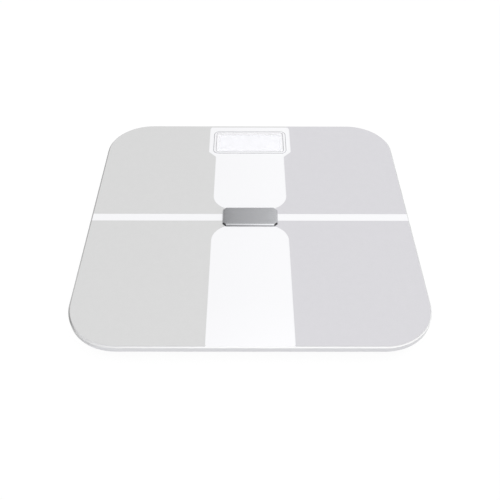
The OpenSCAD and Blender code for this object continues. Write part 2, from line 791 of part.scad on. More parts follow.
// Inside of the battery bay, the door's opening and the windows for the door's tabs
module bay_room() {
  slack = 1.2; // between a tab's end or top and the end or top of its window
  half = tab_w / 2 + tab_play;
  inner = bay_y + bay_in_d / 2 - cut;
  translate([0, bay_y, 0]) {
    box([-bay_in_w / 2, -bay_in_d / 2, z_base], [bay_in_w / 2, bay_in_d / 2, z_bay_roof]);
    rounded_plate(door_open_w, door_open_d, door_r + clearance, z_base - cut, z_door_top);
  }
  for (x = [-tab_x, tab_x]) translate([x, hinge_y, 0]) {
    box([-half, -tab_lap - slack, z_floor], [half, tab_swing, z_floor + tab_t + slack + 0.2]);
    box([-half, 0, z_door_top - cut], [half, tab_swing, z_floor + cut]);
  }
  box([-latch_w / 2 - tab_play, inner, z_door_top - cut],
      [latch_w / 2 + tab_play, bay_y + door_open_d / 2, z_floor + latch_h + tab_play]);
  for (x = [-cell_lead_x, cell_lead_x])
    box([x - wire_d, inner, z_bay_roof - 2], [x + wire_d, bay_y + bay_d / 2 + cut, z_bay_roof]);
}

// Bosses under the main board
module board_bosses() {
  for (p = board_screw_places) translate(p) post(boss_d, z_base, board_under);
}

// Pairs of posts on the ribs that keep each bundle of three wires in its lane
module wire_clips() {
  near = lead_pitch + wire_d / 2 + clearance;
  for (side = [LEFT, RIGHT], j = [-3 : 2], s = [-1, 1])
    translate([side * run_x, (j + 0.5) * rib_pitch, 0]) scale([s, 1, 1])
      box([near, -rib_t / 2, z_rib - cut], [near + rib_t, rib_t / 2, z_rib + 2 * wire_d]);
}

// Space that the board, the display and their wires need clear of ribs
module display_well() {
  room = 1.2;
  front_room = 2;
  box([-board_w / 2 - room, board_front - front_room, z_floor],
      [board_w / 2 + room, board_front + board_d + room, z_glass]);
}

module base_shell() {
  color([0.93, 0.93, 0.93]) difference() {
    rounded_slab(base_w, base_d, base_r, z_base, z_rim, base_round);
    difference() {
      base_cavity();
      difference() {
        union() {
          rib_grid();
          rim_ribs();
        }
        display_well();
      }
      for (side = [LEFT, RIGHT], end = [TOE, HEEL]) at_corner(side, end) pocket_block();
      bay_block();
      board_bosses();
      wire_clips();
      button_guide();
    }
    for (side = [LEFT, RIGHT], end = [TOE, HEEL]) at_corner(side, end) pocket_room();
    bay_room();
    for (p = board_screw_places) translate(p)
      post(screw_d + seat, board_under - screw_l - 1, board_under + cut);
    translate([button_x, button_y, 0]) post(button_d + 2 * clearance, z_base - cut, z_floor + cut);
  }
}

// Foam tape on the rim, with pads over the four pockets and the bay's roof
module mounting_tape() {
  out = 0.5; // from the base's side to the tape
  in = out + tape_w;
  pocket_pad = 30;
  bay_pad = [40, 20];
  pad_r = 3;
  color([0.25, 0.25, 0.26]) {
    difference() {
      rounded_plate(base_w - 2 * out, base_d - 2 * out, base_r - out, z_rim, z_print);
      rounded_plate(base_w - 2 * in, base_d - 2 * in, base_r - in, z_rim - cut, z_print + cut);
      display_well();
    }
    for (side = [LEFT, RIGHT], end = [TOE, HEEL]) at_corner(side, end)
      rounded_plate(pocket_pad, pocket_pad, pad_r, z_rim, z_print);
    translate([0, bay_y, 0]) rounded_plate(bay_pad[0], bay_pad[1], pad_r, z_rim, z_print);
  }
}

// ---------------------------------------------------------------- battery

// Runs of the cells: position of each cell and which way its button points
function battery_offset(i) = (i - (battery_count - 1) / 2) * battery_pitch;
function battery_way(i) = i % 2 == 0 ? 1 : -1;
battery_axis = z_bay_roof - 0.2 - battery_d / 2; // each cell lies 0.2 mm below the bay's roof

// Half section of a cell lying on its button: the button, its seal, the jacket's rolled ends and the flat end
module cell_section() {
  button_l = 0.8;
  button_r = 1.9;
  seal_r = 3.6;
  roll = 0.6;        // chamfer of the jacket's rolled ends
  r = battery_d / 2;
  polygon([
    [0, 0], [button_r, 0], [button_r, button_l], [seal_r, button_l], [seal_r, button_l + roll / 2],
    [r - roll, button_l + roll / 2], [r, button_l + 1.5 * roll], [r, battery_len - roll],
    [r - roll, battery_len], [0, battery_len]
  ]);
}

module aaa_cell(i) {
  way = battery_way(i);
  tip = bay_in_w / 2 - contact_t;
  color([0.15, 0.2, 0.3]) translate([way * tip, bay_y + battery_offset(i), battery_axis])
    rotate([0, -way * 90, 0]) rotate_extrude() cell_section();
}

// Conical coil spring, its base at z = 0 and its small end at z = length
module coil_spring(length, base_d, end_d, turns, d) {
  steps = 12;
  total = turns * steps;
  n = WIRE_SIDES;
  points = [for (i = [0 : total])
    let (
      f = i / total, a = 360 * turns * f, r = (base_d + (end_d - base_d) * f) / 2,
      out = [cos(a), sin(a), 0], mid = r * out + [0, 0, d / 2 + (length - d) * f]
    )
    each [for (k = [0 : n - 1]) let (b = 360 * k / n) mid + d / 2 * (cos(b) * out + sin(b) * [0, 0, 1])]];
  skin = [for (i = [0 : total - 1], k = [0 : n - 1])
    let (a = i * n + k, b = i * n + (k + 1) % n) each [[a, b, a + n], [b, b + n, a + n]]];
  start = [for (k = [1 : n - 2]) [0, k + 1, k]];
  end = [for (k = [1 : n - 2]) [total * n, total * n + k, total * n + k + 1]];
  polyhedron(points, concat(skin, start, end));
}

spring_d = 7;        // across the first turn of a contact spring
spring_tip_d = 4.4;  // across its last turn, against the cell
spring_wire = 0.6;

module battery_springs() {
  color("silver") for (i = [0 : battery_count - 1]) let (way = battery_way(i))
    translate([-way * (bay_in_w / 2 - contact_t), bay_y + battery_offset(i), battery_axis])
      rotate([0, way * 90, 0]) coil_spring(spring_len, spring_d, spring_tip_d, 3, spring_wire);
}

module battery_plates() {
  plate_w = battery_d - 2.5;
  color("silver") for (end = [-1, 1], i = [0 : battery_count - 1])
    translate([end * (bay_in_w - contact_t) / 2, bay_y + battery_offset(i), battery_axis])
      cube([contact_t, plate_w, plate_w], center = true);
}

// ---------------------------------------------------------------- load cells

// Stamped steel half-bridge cell: a square frame with a tongue cut free on three sides
module load_cell() {
  well = cell_w / 2 - cell_frame;
  tongue_w = 2 * (well - cell_slot);
  well_r = 2.4;
  neck_d = 4.4; // round notches that thin the tongue's root beside the gauge
  neck_in = 3;
  low = z_cell - cut;
  high = z_cell + cell_t + cut;
  color([0.72, 0.73, 0.75]) difference() {
    rounded_plate(cell_w, cell_w, cell_r, z_cell, z_cell + cell_t);
    difference() {
      rounded_plate(2 * well, 2 * well, well_r, low, high);
      box([-well - cut, -tongue_w / 2, low - cut], [well - cell_slot, tongue_w / 2, high + cut]);
    }
    for (y = [-1, 1]) translate([neck_in - well, y * tongue_w / 2, 0]) post(neck_d, low, high);
  }
}

// Lower frame of a pocket: a flush plate with the foot's hole and four posts under the cell
module cell_retainer() {
  gap = 0.2;
  side = pocket_w - 2 * gap;
  prop_w = 3.4;
  prop_off = (cell_w - prop_w) / 2;
  color([0.9, 0.9, 0.9]) difference() {
    union() {
      rounded_plate(side, side, pocket_r - gap, z_base, z_floor);
      for (x = [-1, 1], y = [-1, 1]) translate([x * prop_off, y * prop_off, 0])
        box([-prop_w / 2, -prop_w / 2, z_floor - cut], [prop_w / 2, prop_w / 2, z_cell]);
    }
    post(foot_d + 2 * foot_play, z_base - cut, z_cell + cut);
    at_bosses() {
      post(screw_d + 2 * screw_play, z_base - cut, z_floor + cut);
      post(screw_head_d + 2 * head_play, z_base - cut, z_screw_seat);
    }
  }
}

foot_play = 0.4;     // round each foot in its retainer's hole
head_sunk = 0.1;
z_screw_seat = z_base + head_sunk + screw_head_h;

module retainer_screws() {
  color("silver") for (side = [LEFT, RIGHT], end = [TOE, HEEL]) at_corner(side, end)
    at_bosses() translate([0, 0, z_screw_seat]) rotate([180, 0, 0]) screw();
}

gauge_w = 8;
gauge_d = 10.4;
gauge_x = -8.4;      // at the root of the tongue

// White silicone over the gauge on each load cell's tongue
module strain_gauges() {
  gauge_t = 1;
  gauge_r = 1.5;
  color([0.95, 0.95, 0.96]) for (side = [LEFT, RIGHT], end = [TOE, HEEL]) at_corner(side, end)
    translate([gauge_x, 0, 0])
      rounded_plate(gauge_w, gauge_d, gauge_r, z_cell + cell_t, z_cell + cell_t + gauge_t);
}

// ---------------------------------------------------------------- feet

flange_z = z_floor + foot_float;
pad_edge = pad_t - pad_seat;

// Round cup that carries the load cell's tongue on its middle boss
module foot_cup() {
  web_top = pad_t + foot_web;
  flange_top = flange_z + foot_flange_t;
  inner = foot_d / 2 - foot_wall;
  cup_soft = 0.4;
  cup_arris = 0.05;
  boss_low_r = 5.5;
  boss_high_r = 4.5;
  rib_w = 1.2;
  color([0.88, 0.88, 0.89]) {
    rotate_extrude() difference() {
      union() {
        bevelled_section(foot_d / 2, pad_edge, flange_top, cup_soft, cup_arris);
        translate([0, flange_z]) square([foot_d / 2 + foot_flange_w, foot_flange_t]);
      }
      translate([-cut, pad_edge - cut]) square([inner + cut, pad_seat + cut]);
      translate([-cut, web_top]) square([inner + cut, flange_top]);
    }
    translate([0, 0, web_top - cut])
      cylinder(h = z_cell - web_top + cut, r1 = boss_low_r, r2 = boss_high_r);
    for (k = [0 : foot_ribs - 1]) rotate([0, 0, 360 * k / foot_ribs])
      box([boss_high_r - 1, -rib_w / 2, web_top - cut], [inner + cut, rib_w / 2, flange_top - cup_soft]);
  }
}

// Rubber pad with two ring grooves in its sole
module foot_pad() {
  reach = foot_d / 2 - foot_wall - clearance;
  groove_w = 1;
  groove_h = 0.6;
  pad_soft = 0.5;
  pad_arris = 0.1;
  color([0.55, 0.56, 0.58]) rotate_extrude() difference() {
    bevelled_section(reach, 0, pad_t, pad_soft, pad_arris);
    for (share = [0.35, 0.7]) translate([share * reach, -cut]) square([groove_w, groove_h + cut]);
  }
}

// ---------------------------------------------------------------- battery door

// Door that swings about the edge under its two tabs and snaps shut with a wall at the other end
module battery_door() {
  w = door_open_w - 2 * clearance;
  d = door_open_d - 2 * clearance;
  tab_z = z_floor + 0.1; // the tabs just clear the floor that they hook over
  root_y = hinge_y + clearance;
  root_end = root_y + tab_t;
  rib_l = 38;
  rib_w = 1;
  rib_up = 1.6;
  latch_y = bay_y + d / 2;
  scoop_r = 13; // thumb scoop at the latch, 1 mm deep
  scoop_w = 16;
  scoop_y = latch_y - 9;
  grip_l = 20; // grip grooves in front of the scoop
  grip_w = 1;
  grip_h = 0.4;
  grip_pitch = 2.4;
  color([0.91, 0.91, 0.91]) difference() {
    union() {
      translate([0, bay_y, 0]) rounded_plate(w, d, door_r, z_base, z_door_top);
      for (x = [-tab_x, tab_x]) translate([x, 0, 0]) {
        box([-tab_w / 2, root_y, z_door_top - cut], [tab_w / 2, root_end, tab_z + tab_t]);
        box([-tab_w / 2, hinge_y - tab_lap, tab_z], [tab_w / 2, root_end, tab_z + tab_t]);
      }
      for (i = [0 : battery_count - 2]) let (y = bay_y + (battery_offset(i) + battery_offset(i + 1)) / 2)
        box([-rib_l / 2, y - rib_w / 2, z_door_top - cut], [rib_l / 2, y + rib_w / 2, z_door_top + rib_up]);
      box([-latch_w / 2, latch_y - latch_t, z_door_top - cut], [latch_w / 2, latch_y, z_floor + latch_h]);
    }
    translate([0, scoop_y, z_base + 1 - scoop_r]) rotate([0, 90, 0])
      cylinder(h = scoop_w, r = scoop_r, center = true);
    for (k = [0 : 3]) translate([0, scoop_y - 6 - k * grip_pitch, z_base])
      cube([grip_l, grip_w, 2 * grip_h], center = true);
  }
}

// ---------------------------------------------------------------- wires in place

wire_air = 0.1;      // under a wire that lies on something
z_run = z_rib + wire_d / 2 + wire_air;    // wires lying on the ribs
z_pad = z_board + wire_d / 2 + wire_air / 2; // wires at their solder pads on the board
pad_x = board_w / 2 - 3;
ramp_x = board_w / 2 + 1.5;  // top of the side wires' climb to the board
ramp_foot = ramp_x + 4.5;
pocket_exit = foot_x - pocket_out / 2 - 1;
run_x = pocket_exit - 5.5;
heel_turn_y = board_front + 2.1;
front_pad_y = board_front + 3;
front_ramp_y = board_front - 2;
front_ramp_foot = front_ramp_y - 6;

// The three wires of each load cell, from its gauge to its pads on the board
module sensor_leads() {
  z_gauge = z_cell + cell_t + 1.5 * wire_air + wire_d / 2;
  start_x = foot_x + gauge_x - gauge_w / 2 - 0.1;
  color("red") for (side = [LEFT, RIGHT], i = [0 : 2]) {
    off = (i - 1) * lead_pitch + lead_y;
    lane = run_x + (i - 1) * lead_pitch;
    turn_y = heel_turn_y + (i + 0.2) * lead_pitch;
    toe_y = foot_y + off;
    heel_y = off - foot_y;
    scale([side, 1, 1]) {
      wire([
        [start_x, toe_y, z_gauge], [pocket_exit, toe_y, z_gauge], [pocket_exit - 5, toe_y, z_run],
        [ramp_foot, toe_y, z_run], [ramp_x, toe_y, z_pad], [pad_x, toe_y, z_pad]
      ], wire_d);
      wire([
        [start_x, heel_y, z_gauge], [pocket_exit, heel_y, z_gauge], [lane, heel_y, z_run],
        [lane, turn_y, z_run], [ramp_foot, turn_y, z_run], [ramp_x, turn_y, z_pad],
        [pad_x, turn_y, z_pad]
      ], wire_d);
    }
  }
}

// A lead from each electrode contact, round the battery bay to the board's front edge
module electrode_leads() {
  z_tail = z_print - contact_tail_t - wire_d / 2 - wire_air / 2;
  color("white") for (side = [LEFT, RIGHT], end = [TOE, HEEL]) scale([side, 1, 1]) {
    lane = bay_w / 2 + 4 + (end == TOE ? 0 : 1.6);
    wire([
      [contact_x, end * contact_y, z_tail], [lane, end * contact_y, z_run],
      [lane, front_ramp_foot, z_run], [lane, front_ramp_y, z_pad], [lane, front_pad_y, z_pad]
    ], wire_d);
  }
}

// Positive and negative leads from the bay to the board's front edge
module battery_leads() {
  start_y = bay_y + bay_in_d / 2 + 0.4;
  z_start = z_bay_roof - 1;
  color("red") for (x = [-cell_lead_x, cell_lead_x])
    wire([
      [x, start_y, z_start], [x, start_y + 6, z_run], [x, front_ramp_foot, z_run],
      [x, front_ramp_y, z_pad], [x, front_pad_y, z_pad]
    ], wire_d);
}

// ---------------------------------------------------------------- assembly

glass_platform();
back_print();
electrode(LEFT, TOE);  // electrode_toe_left
electrode(RIGHT, TOE);  // electrode_toe_right
electrode(LEFT, HEEL);  // electrode_heel_left
electrode(RIGHT, HEEL);  // electrode_heel_right
centre_badge();
badge_tape();
electrode_contacts();
electrode_leads();
display_bezel();
display_lens();
lcd_panel();
lcd_backlight();
lcd_holder();
zebra_strip();
main_board();
board_components();
board_screws();
unit_switch();
base_shell();
mounting_tape();
aaa_cell(0);  // aaa_cell_1
aaa_cell(1);  // aaa_cell_2
aaa_cell(2);  // aaa_cell_3
battery_springs();
battery_plates();
battery_leads();
at_corner(LEFT, TOE) load_cell();  // load_cell_toe_left
at_corner(RIGHT, TOE) load_cell();  // load_cell_toe_right
at_corner(LEFT, HEEL) load_cell();  // load_cell_heel_left
at_corner(RIGHT, HEEL) load_cell();  // load_cell_heel_right
at_corner(LEFT, TOE) cell_retainer();  // cell_retainer_toe_left
at_corner(RIGHT, TOE) cell_retainer();  // cell_retainer_toe_right
at_corner(LEFT, HEEL) cell_retainer();  // cell_retainer_heel_left
at_corner(RIGHT, HEEL) cell_retainer();  // cell_retainer_heel_right
strain_gauges();
retainer_screws();
sensor_leads();
at_corner(LEFT, TOE) foot_cup();  // foot_cup_toe_left
at_corner(RIGHT, TOE) foot_cup();  // foot_cup_toe_right
at_corner(LEFT, HEEL) foot_cup();  // foot_cup_heel_left
at_corner(RIGHT, HEEL) foot_cup();  // foot_cup_heel_right
at_corner(LEFT, TOE) foot_pad();  // foot_pad_toe_left
at_corner(RIGHT, TOE) foot_pad();  // foot_pad_toe_right
at_corner(LEFT, HEEL) foot_pad();  // foot_pad_heel_left
at_corner(RIGHT, HEEL) foot_pad();  // foot_pad_heel_right
battery_door();
unit_button();
switch_plunger();
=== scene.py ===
"""Looks of a digital bathroom scale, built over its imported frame.

A bevelled sheet of toughened glass lies on a shallow moulded base. Four grey electrode fields leave a
white cross on it, a metal badge sits where they meet, and a white frame holds the display at the back.
"""

import logging
import math
from collections.abc import Sequence
from dataclasses import dataclass, replace
from enum import Enum

import bpy
import numpy as np
from mathutils import Matrix, Vector


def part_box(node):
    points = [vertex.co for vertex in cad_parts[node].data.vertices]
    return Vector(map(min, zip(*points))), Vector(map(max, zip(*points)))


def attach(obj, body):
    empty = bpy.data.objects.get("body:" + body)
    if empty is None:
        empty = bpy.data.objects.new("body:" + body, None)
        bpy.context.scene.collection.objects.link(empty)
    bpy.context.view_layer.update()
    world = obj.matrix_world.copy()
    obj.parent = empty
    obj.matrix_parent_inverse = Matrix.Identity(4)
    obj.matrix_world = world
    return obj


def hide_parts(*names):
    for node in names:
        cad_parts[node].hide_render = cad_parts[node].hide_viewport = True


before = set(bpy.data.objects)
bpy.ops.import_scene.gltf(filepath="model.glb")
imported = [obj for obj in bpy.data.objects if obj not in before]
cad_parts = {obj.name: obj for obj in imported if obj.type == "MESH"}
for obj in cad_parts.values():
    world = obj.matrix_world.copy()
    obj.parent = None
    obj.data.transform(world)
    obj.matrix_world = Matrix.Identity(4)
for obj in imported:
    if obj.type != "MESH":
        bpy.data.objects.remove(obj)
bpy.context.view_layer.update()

MM = 0.001
UM = 1e-6
LOG = logging.getLogger("bathroom_scale")

Tree = bpy.types.NodeTree
Node = bpy.types.Node
Socket = bpy.types.NodeSocket
Colour = tuple[float, float, float, float]   # linear red, green, blue and alpha
Span = tuple[float, float]                   # the two ends of a range, or a pair of sizes

# -------------------------------------------------------------------------------------------- options


class Body(Enum):
    """Rigid bodies of the frame that carry new pieces."""

    SCALE = "scale_body"


class Corner(Enum):
    """The four feet, each under one electrode field."""

    TOE_LEFT = "toe_left"
    TOE_RIGHT = "toe_right"
    HEEL_LEFT = "heel_left"
    HEEL_RIGHT = "heel_right"


class Grain(Enum):
    """Axis along which metal is brushed or rolled."""

    X = 0
    Y = 1


# -------------------------------------------------------------------------------------------- materials

BLACK: Colour = (0.0, 0.0, 0.0, 1.0)


def linear(colour: str) -> Colour:
    """Turns an sRGB colour into the linear one that shaders take.

    Args:
        colour: six hex digits.

    Returns:
        Linear red, green, blue and an alpha of 1.
    """
    srgb = np.array([int(colour[i:i + 2], 16) for i in (0, 2, 4)]) / 255
    return (*np.where(srgb <= 0.04045, srgb / 12.92, ((srgb + 0.055) / 1.055) ** 2.4).tolist(), 1.0)


def per_mm(size: float) -> float:
    """Texture scale, in cycles a metre, of a pattern whose features are size millimetres wide."""
    return 1 / (size * MM)


def add_node(tree: Tree, kind: str, settings: dict[str, object] | None = None, **inputs: object) -> Node:
    """Adds one node with its settings, socket values and links.

    Args:
        tree: node tree that gets the node.
        kind: the node's type, such as ShaderNodeTexNoise.
        settings: the node's own properties by name.
        **inputs: a value for each socket, or the output or field that is linked to it. A socket goes by its
            name, with _ for a space, or by its number, as in i0.

    Returns:
        The new node.
    """
    node = tree.nodes.new(kind)
    for key, value in (settings or {}).items():
        setattr(node, key, value)
    for key, value in inputs.items():
        numbered = key[0] == "i" and key[1:].isdigit()
        socket = node.inputs[int(key[1:])] if numbered else node.inputs[key.replace("_", " ")]
        source = value.socket if isinstance(value, Field) else value
        if isinstance(source, Socket):
            tree.links.new(source, socket)
        else:
            socket.default_value = source
    return node


@dataclass(frozen=True)
class Field:
    """A number that varies over a surface. Arithmetic with it is worked out by nodes of its tree."""

    socket: Socket

    def worked(self, operation: str, *values: "Field | float") -> "Field":
        """Works a Math node's operation on the values.

        Args:
            operation: the node's name for it, such as MULTIPLY.
            *values: one value for each of its inputs, in order.

        Returns:
            The result.
        """
        inputs = {f"i{number}": value for number, value in enumerate(values)}
        made = add_node(self.socket.id_data, "ShaderNodeMath", {"operation": operation}, **inputs)
        return Field(made.outputs[0])

    def __add__(self, other: "Field | float") -> "Field":
        """The sum of both."""
        return self.worked("ADD", self, other)

    def __sub__(self, other: "Field | float") -> "Field":
        """This less the other."""
        return self.worked("SUBTRACT", self, other)

    def __rsub__(self, other: float) -> "Field":
        """The other less this."""
        return self.worked("SUBTRACT", other, self)

    def __mul__(self, other: "Field | float") -> "Field":
        """The product of both."""
        return self.worked("MULTIPLY", self, other)

    def __truediv__(self, other: float) -> "Field":
        """This over the other."""
        return self.worked("DIVIDE", self, other)

    def __pow__(self, power: float) -> "Field":
        """This to a power."""
        return self.worked("POWER", self, power)

    def __abs__(self) -> "Field":
        """This without its sign."""
        return self.worked("ABSOLUTE", self)

    def step(self, low: float, high: float) -> "Field":
        """0 below low, 1 above high, and a smooth rise between them."""
        return Field(add_node(self.socket.id_data, "ShaderNodeMapRange", {"interpolation_type": "SMOOTHSTEP"},
                              Value=self, From_Min=low, From_Max=high, To_Min=0.0, To_Max=1.0).outputs[0])

    def blend(self, none: Socket | Colour, full: Socket | Colour) -> Socket:
        """The first colour where this is 0, the second where it is 1, and a mixture between."""
        return add_node(self.socket.id_data, "ShaderNodeMix", {"data_type": "RGBA"}, i0=self, i6=none,
                        i7=full).outputs[2]


@dataclass(frozen=True)
class Finish:
    """A plain finish: one colour with a fine mottle, and a grain that breaks up its gloss.

    The mottle and the grain are noise in real millimetres on the piece's own coordinates.
    """

    name: str
    colour: str
    roughness: float = 0.5
    metallic: float = 0.0
    ior: float = 1.5
    mottle: float = 0.03      # share by which the colour varies
    mottle_mm: float = 6.0
    grain_mm: float = 0.6     # drawn coarse enough to show; the real texture is about 0.1 mm
    grain_um: float = 12.0    # depth of the grain
    spread: float = 0.06      # variation of the roughness
    smoothest: float = 0.02   # roughness below which that doesn't go
    coat: float = 0.0
    alpha: float = 1.0
    usual: Span = (0.3, 0.7)  # range in which most of a noise's values lie

    def material(self) -> bpy.types.Material:
        """Builds the material, or returns the one already built.

        Returns:
            The material, named for the finish.
        """
        made = bpy.data.materials.get(self.name)
        if made:
            return made
        made = bpy.data.materials.new(self.name)
        made.use_nodes = True
        tree = made.node_tree
        tree.nodes.clear()
        shader = add_node(tree, "ShaderNodeBsdfPrincipled", Roughness=self.roughness, Metallic=self.metallic,
                          Base_Color=linear(self.colour), Coat_Weight=self.coat, Alpha=self.alpha)
        if not self.metallic:
            shader.inputs["IOR"].default_value = self.ior
        self.paint(tree, shader, add_node(tree, "ShaderNodeTexCoord").outputs["Object"])
        add_node(tree, "ShaderNodeOutputMaterial", Surface=shader.outputs["BSDF"])
        return made

    def paint(self, tree: Tree, shader: Node, place: Socket) -> None:
        """Links the mottle to the colour, and the grain to the roughness and the relief.

        Args:
            tree: the material's tree.
            shader: its Principled BSDF.
            place: Object coordinates.
        """
        self.tint(shader, self.varied(self.noise(tree, place, self.mottle_mm)))
        grain = self.noise(tree, place, self.grain_mm, detail=3.0)
        self.gloss(shader, grain)
        self.relief(shader, grain, self.grain_um)

    @staticmethod
    def noise(tree: Tree, place: Socket, size: float, detail: float = 2.0,
              stretch: Sequence[float] = (1, 1, 1)) -> Field:
        """Makes noise whose features are size millimetres wide.

        Args:
            tree: the material's tree.
            place: coordinates in metres.
            size: width of a feature in millimetres.
            detail: octaves added to it.
            stretch: how many times longer the features are along each axis.

        Returns:
            The noise's value, around 0.5.
        """
        scale = [per_mm(size) / longer for longer in stretch]
        spot = add_node(tree, "ShaderNodeMapping", Vector=place, Scale=scale).outputs[0]
        made = add_node(tree, "ShaderNodeTexNoise", Vector=spot, Scale=1.0, Detail=detail, Roughness=0.55)
        return Field(made.outputs[0])

    def varied(self, value: Field) -> Socket:
        """Runs the colour from a mottle's share below itself to as much above it, over value's usual range.

        Args:
            value: pattern that the colour follows.

        Returns:
            The colour.
        """
        ramp = add_node(value.socket.id_data, "ShaderNodeValToRGB", Fac=value)
        base = np.array(linear(self.colour)[:3])
        for element, at, share in zip(ramp.color_ramp.elements, self.usual, (-self.mottle, self.mottle)):
            element.position = at
            element.color = (*np.clip(base * (1 + share), 0, 1).tolist(), 1)
        return ramp.outputs[0]

    def gloss(self, shader: Node, value: Field) -> None:
        """Lets the roughness vary by its spread as value crosses its usual range.

        Args:
            shader: the Principled BSDF.
            value: pattern that the roughness follows.
        """
        least, most = max(self.roughness - self.spread, self.smoothest), min(self.roughness + self.spread, 1)
        vary = add_node(shader.id_data, "ShaderNodeMapRange", Value=value, From_Min=self.usual[0],
                        From_Max=self.usual[1], To_Min=least, To_Max=most)
        shader.id_data.links.new(vary.outputs[0], shader.inputs["Roughness"])

    @staticmethod
    def tint(shader: Node, colour: Socket) -> None:
        """Links a colour to the shader."""
        shader.id_data.links.new(colour, shader.inputs["Base Color"])

    @staticmethod
    def relief(shader: Node, height: Field, depth_um: float, strength: float = 0.5) -> None:
        """Links a height to the shader's normal, as a bump of that depth in micrometres."""
        bump = add_node(shader.id_data, "ShaderNodeBump", Height=height, Distance=depth_um * UM,
                        Strength=strength)
        shader.id_data.links.new(bump.outputs[0], shader.inputs["Normal"])


@dataclass(frozen=True)
class BrushedMetal(Finish):
    """Sheet metal brushed along one axis: fine parallel scratches that draw highlights out across them."""

    grain: Grain = Grain.X
    scratch_mm: float = 0.35   # drawn wider than the real 0.05 mm, so that it shows
    scratch_um: float = 3.0
    scratch_run: float = 60    # times that a scratch is longer than it is wide
    scratch_bump: float = 0.35   # strength of the bump, low so that the highlights stay whole

    def paint(self, tree: Tree, shader: Node, place: Socket) -> None:
        """Links scratches, which are noise stretched along the grain, to colour, roughness and relief.

        Args:
            tree: the material's tree.
            shader: its Principled BSDF.
            place: Object coordinates.
        """
        stretch = (self.scratch_run, 1, 1) if self.grain is Grain.X else (1, self.scratch_run, 1)
        streak = self.noise(tree, place, self.scratch_mm, detail=4.0, stretch=stretch)
        self.tint(shader, self.varied(streak))
        self.gloss(shader, streak)
        self.relief(shader, streak, self.scratch_um, self.scratch_bump)


@dataclass(frozen=True)
class ConductiveFilm(Finish):
    """Silver-filled conductive ink: satin grey, which flakes too small to see singly give a faint life."""

    flake_mm: float = 0.5      # drawn far wider than the real 0.02 mm, so that it shows
    flake_share: float = 0.4   # of the tone that the flakes give; the cloud gives the rest

    def paint(self, tree: Tree, shader: Node, place: Socket) -> None:
        """Links flakes of random tone over a slow cloud from the screen printing.

        Args:
            tree: the material's tree.
            shader: its Principled BSDF.
            place: Object coordinates.
        """
        flakes = add_node(tree, "ShaderNodeTexVoronoi", Vector=place, Scale=per_mm(self.flake_mm))
        level = Field(add_node(tree, "ShaderNodeSeparateColor", Color=flakes.outputs["Color"]).outputs[0])
        cloud = self.noise(tree, place, self.mottle_mm)
        self.tint(shader, self.varied(level * self.flake_share + cloud * (1 - self.flake_share)))
        self.gloss(shader, level)
        self.relief(shader, self.noise(tree, place, self.grain_mm), self.grain_um)


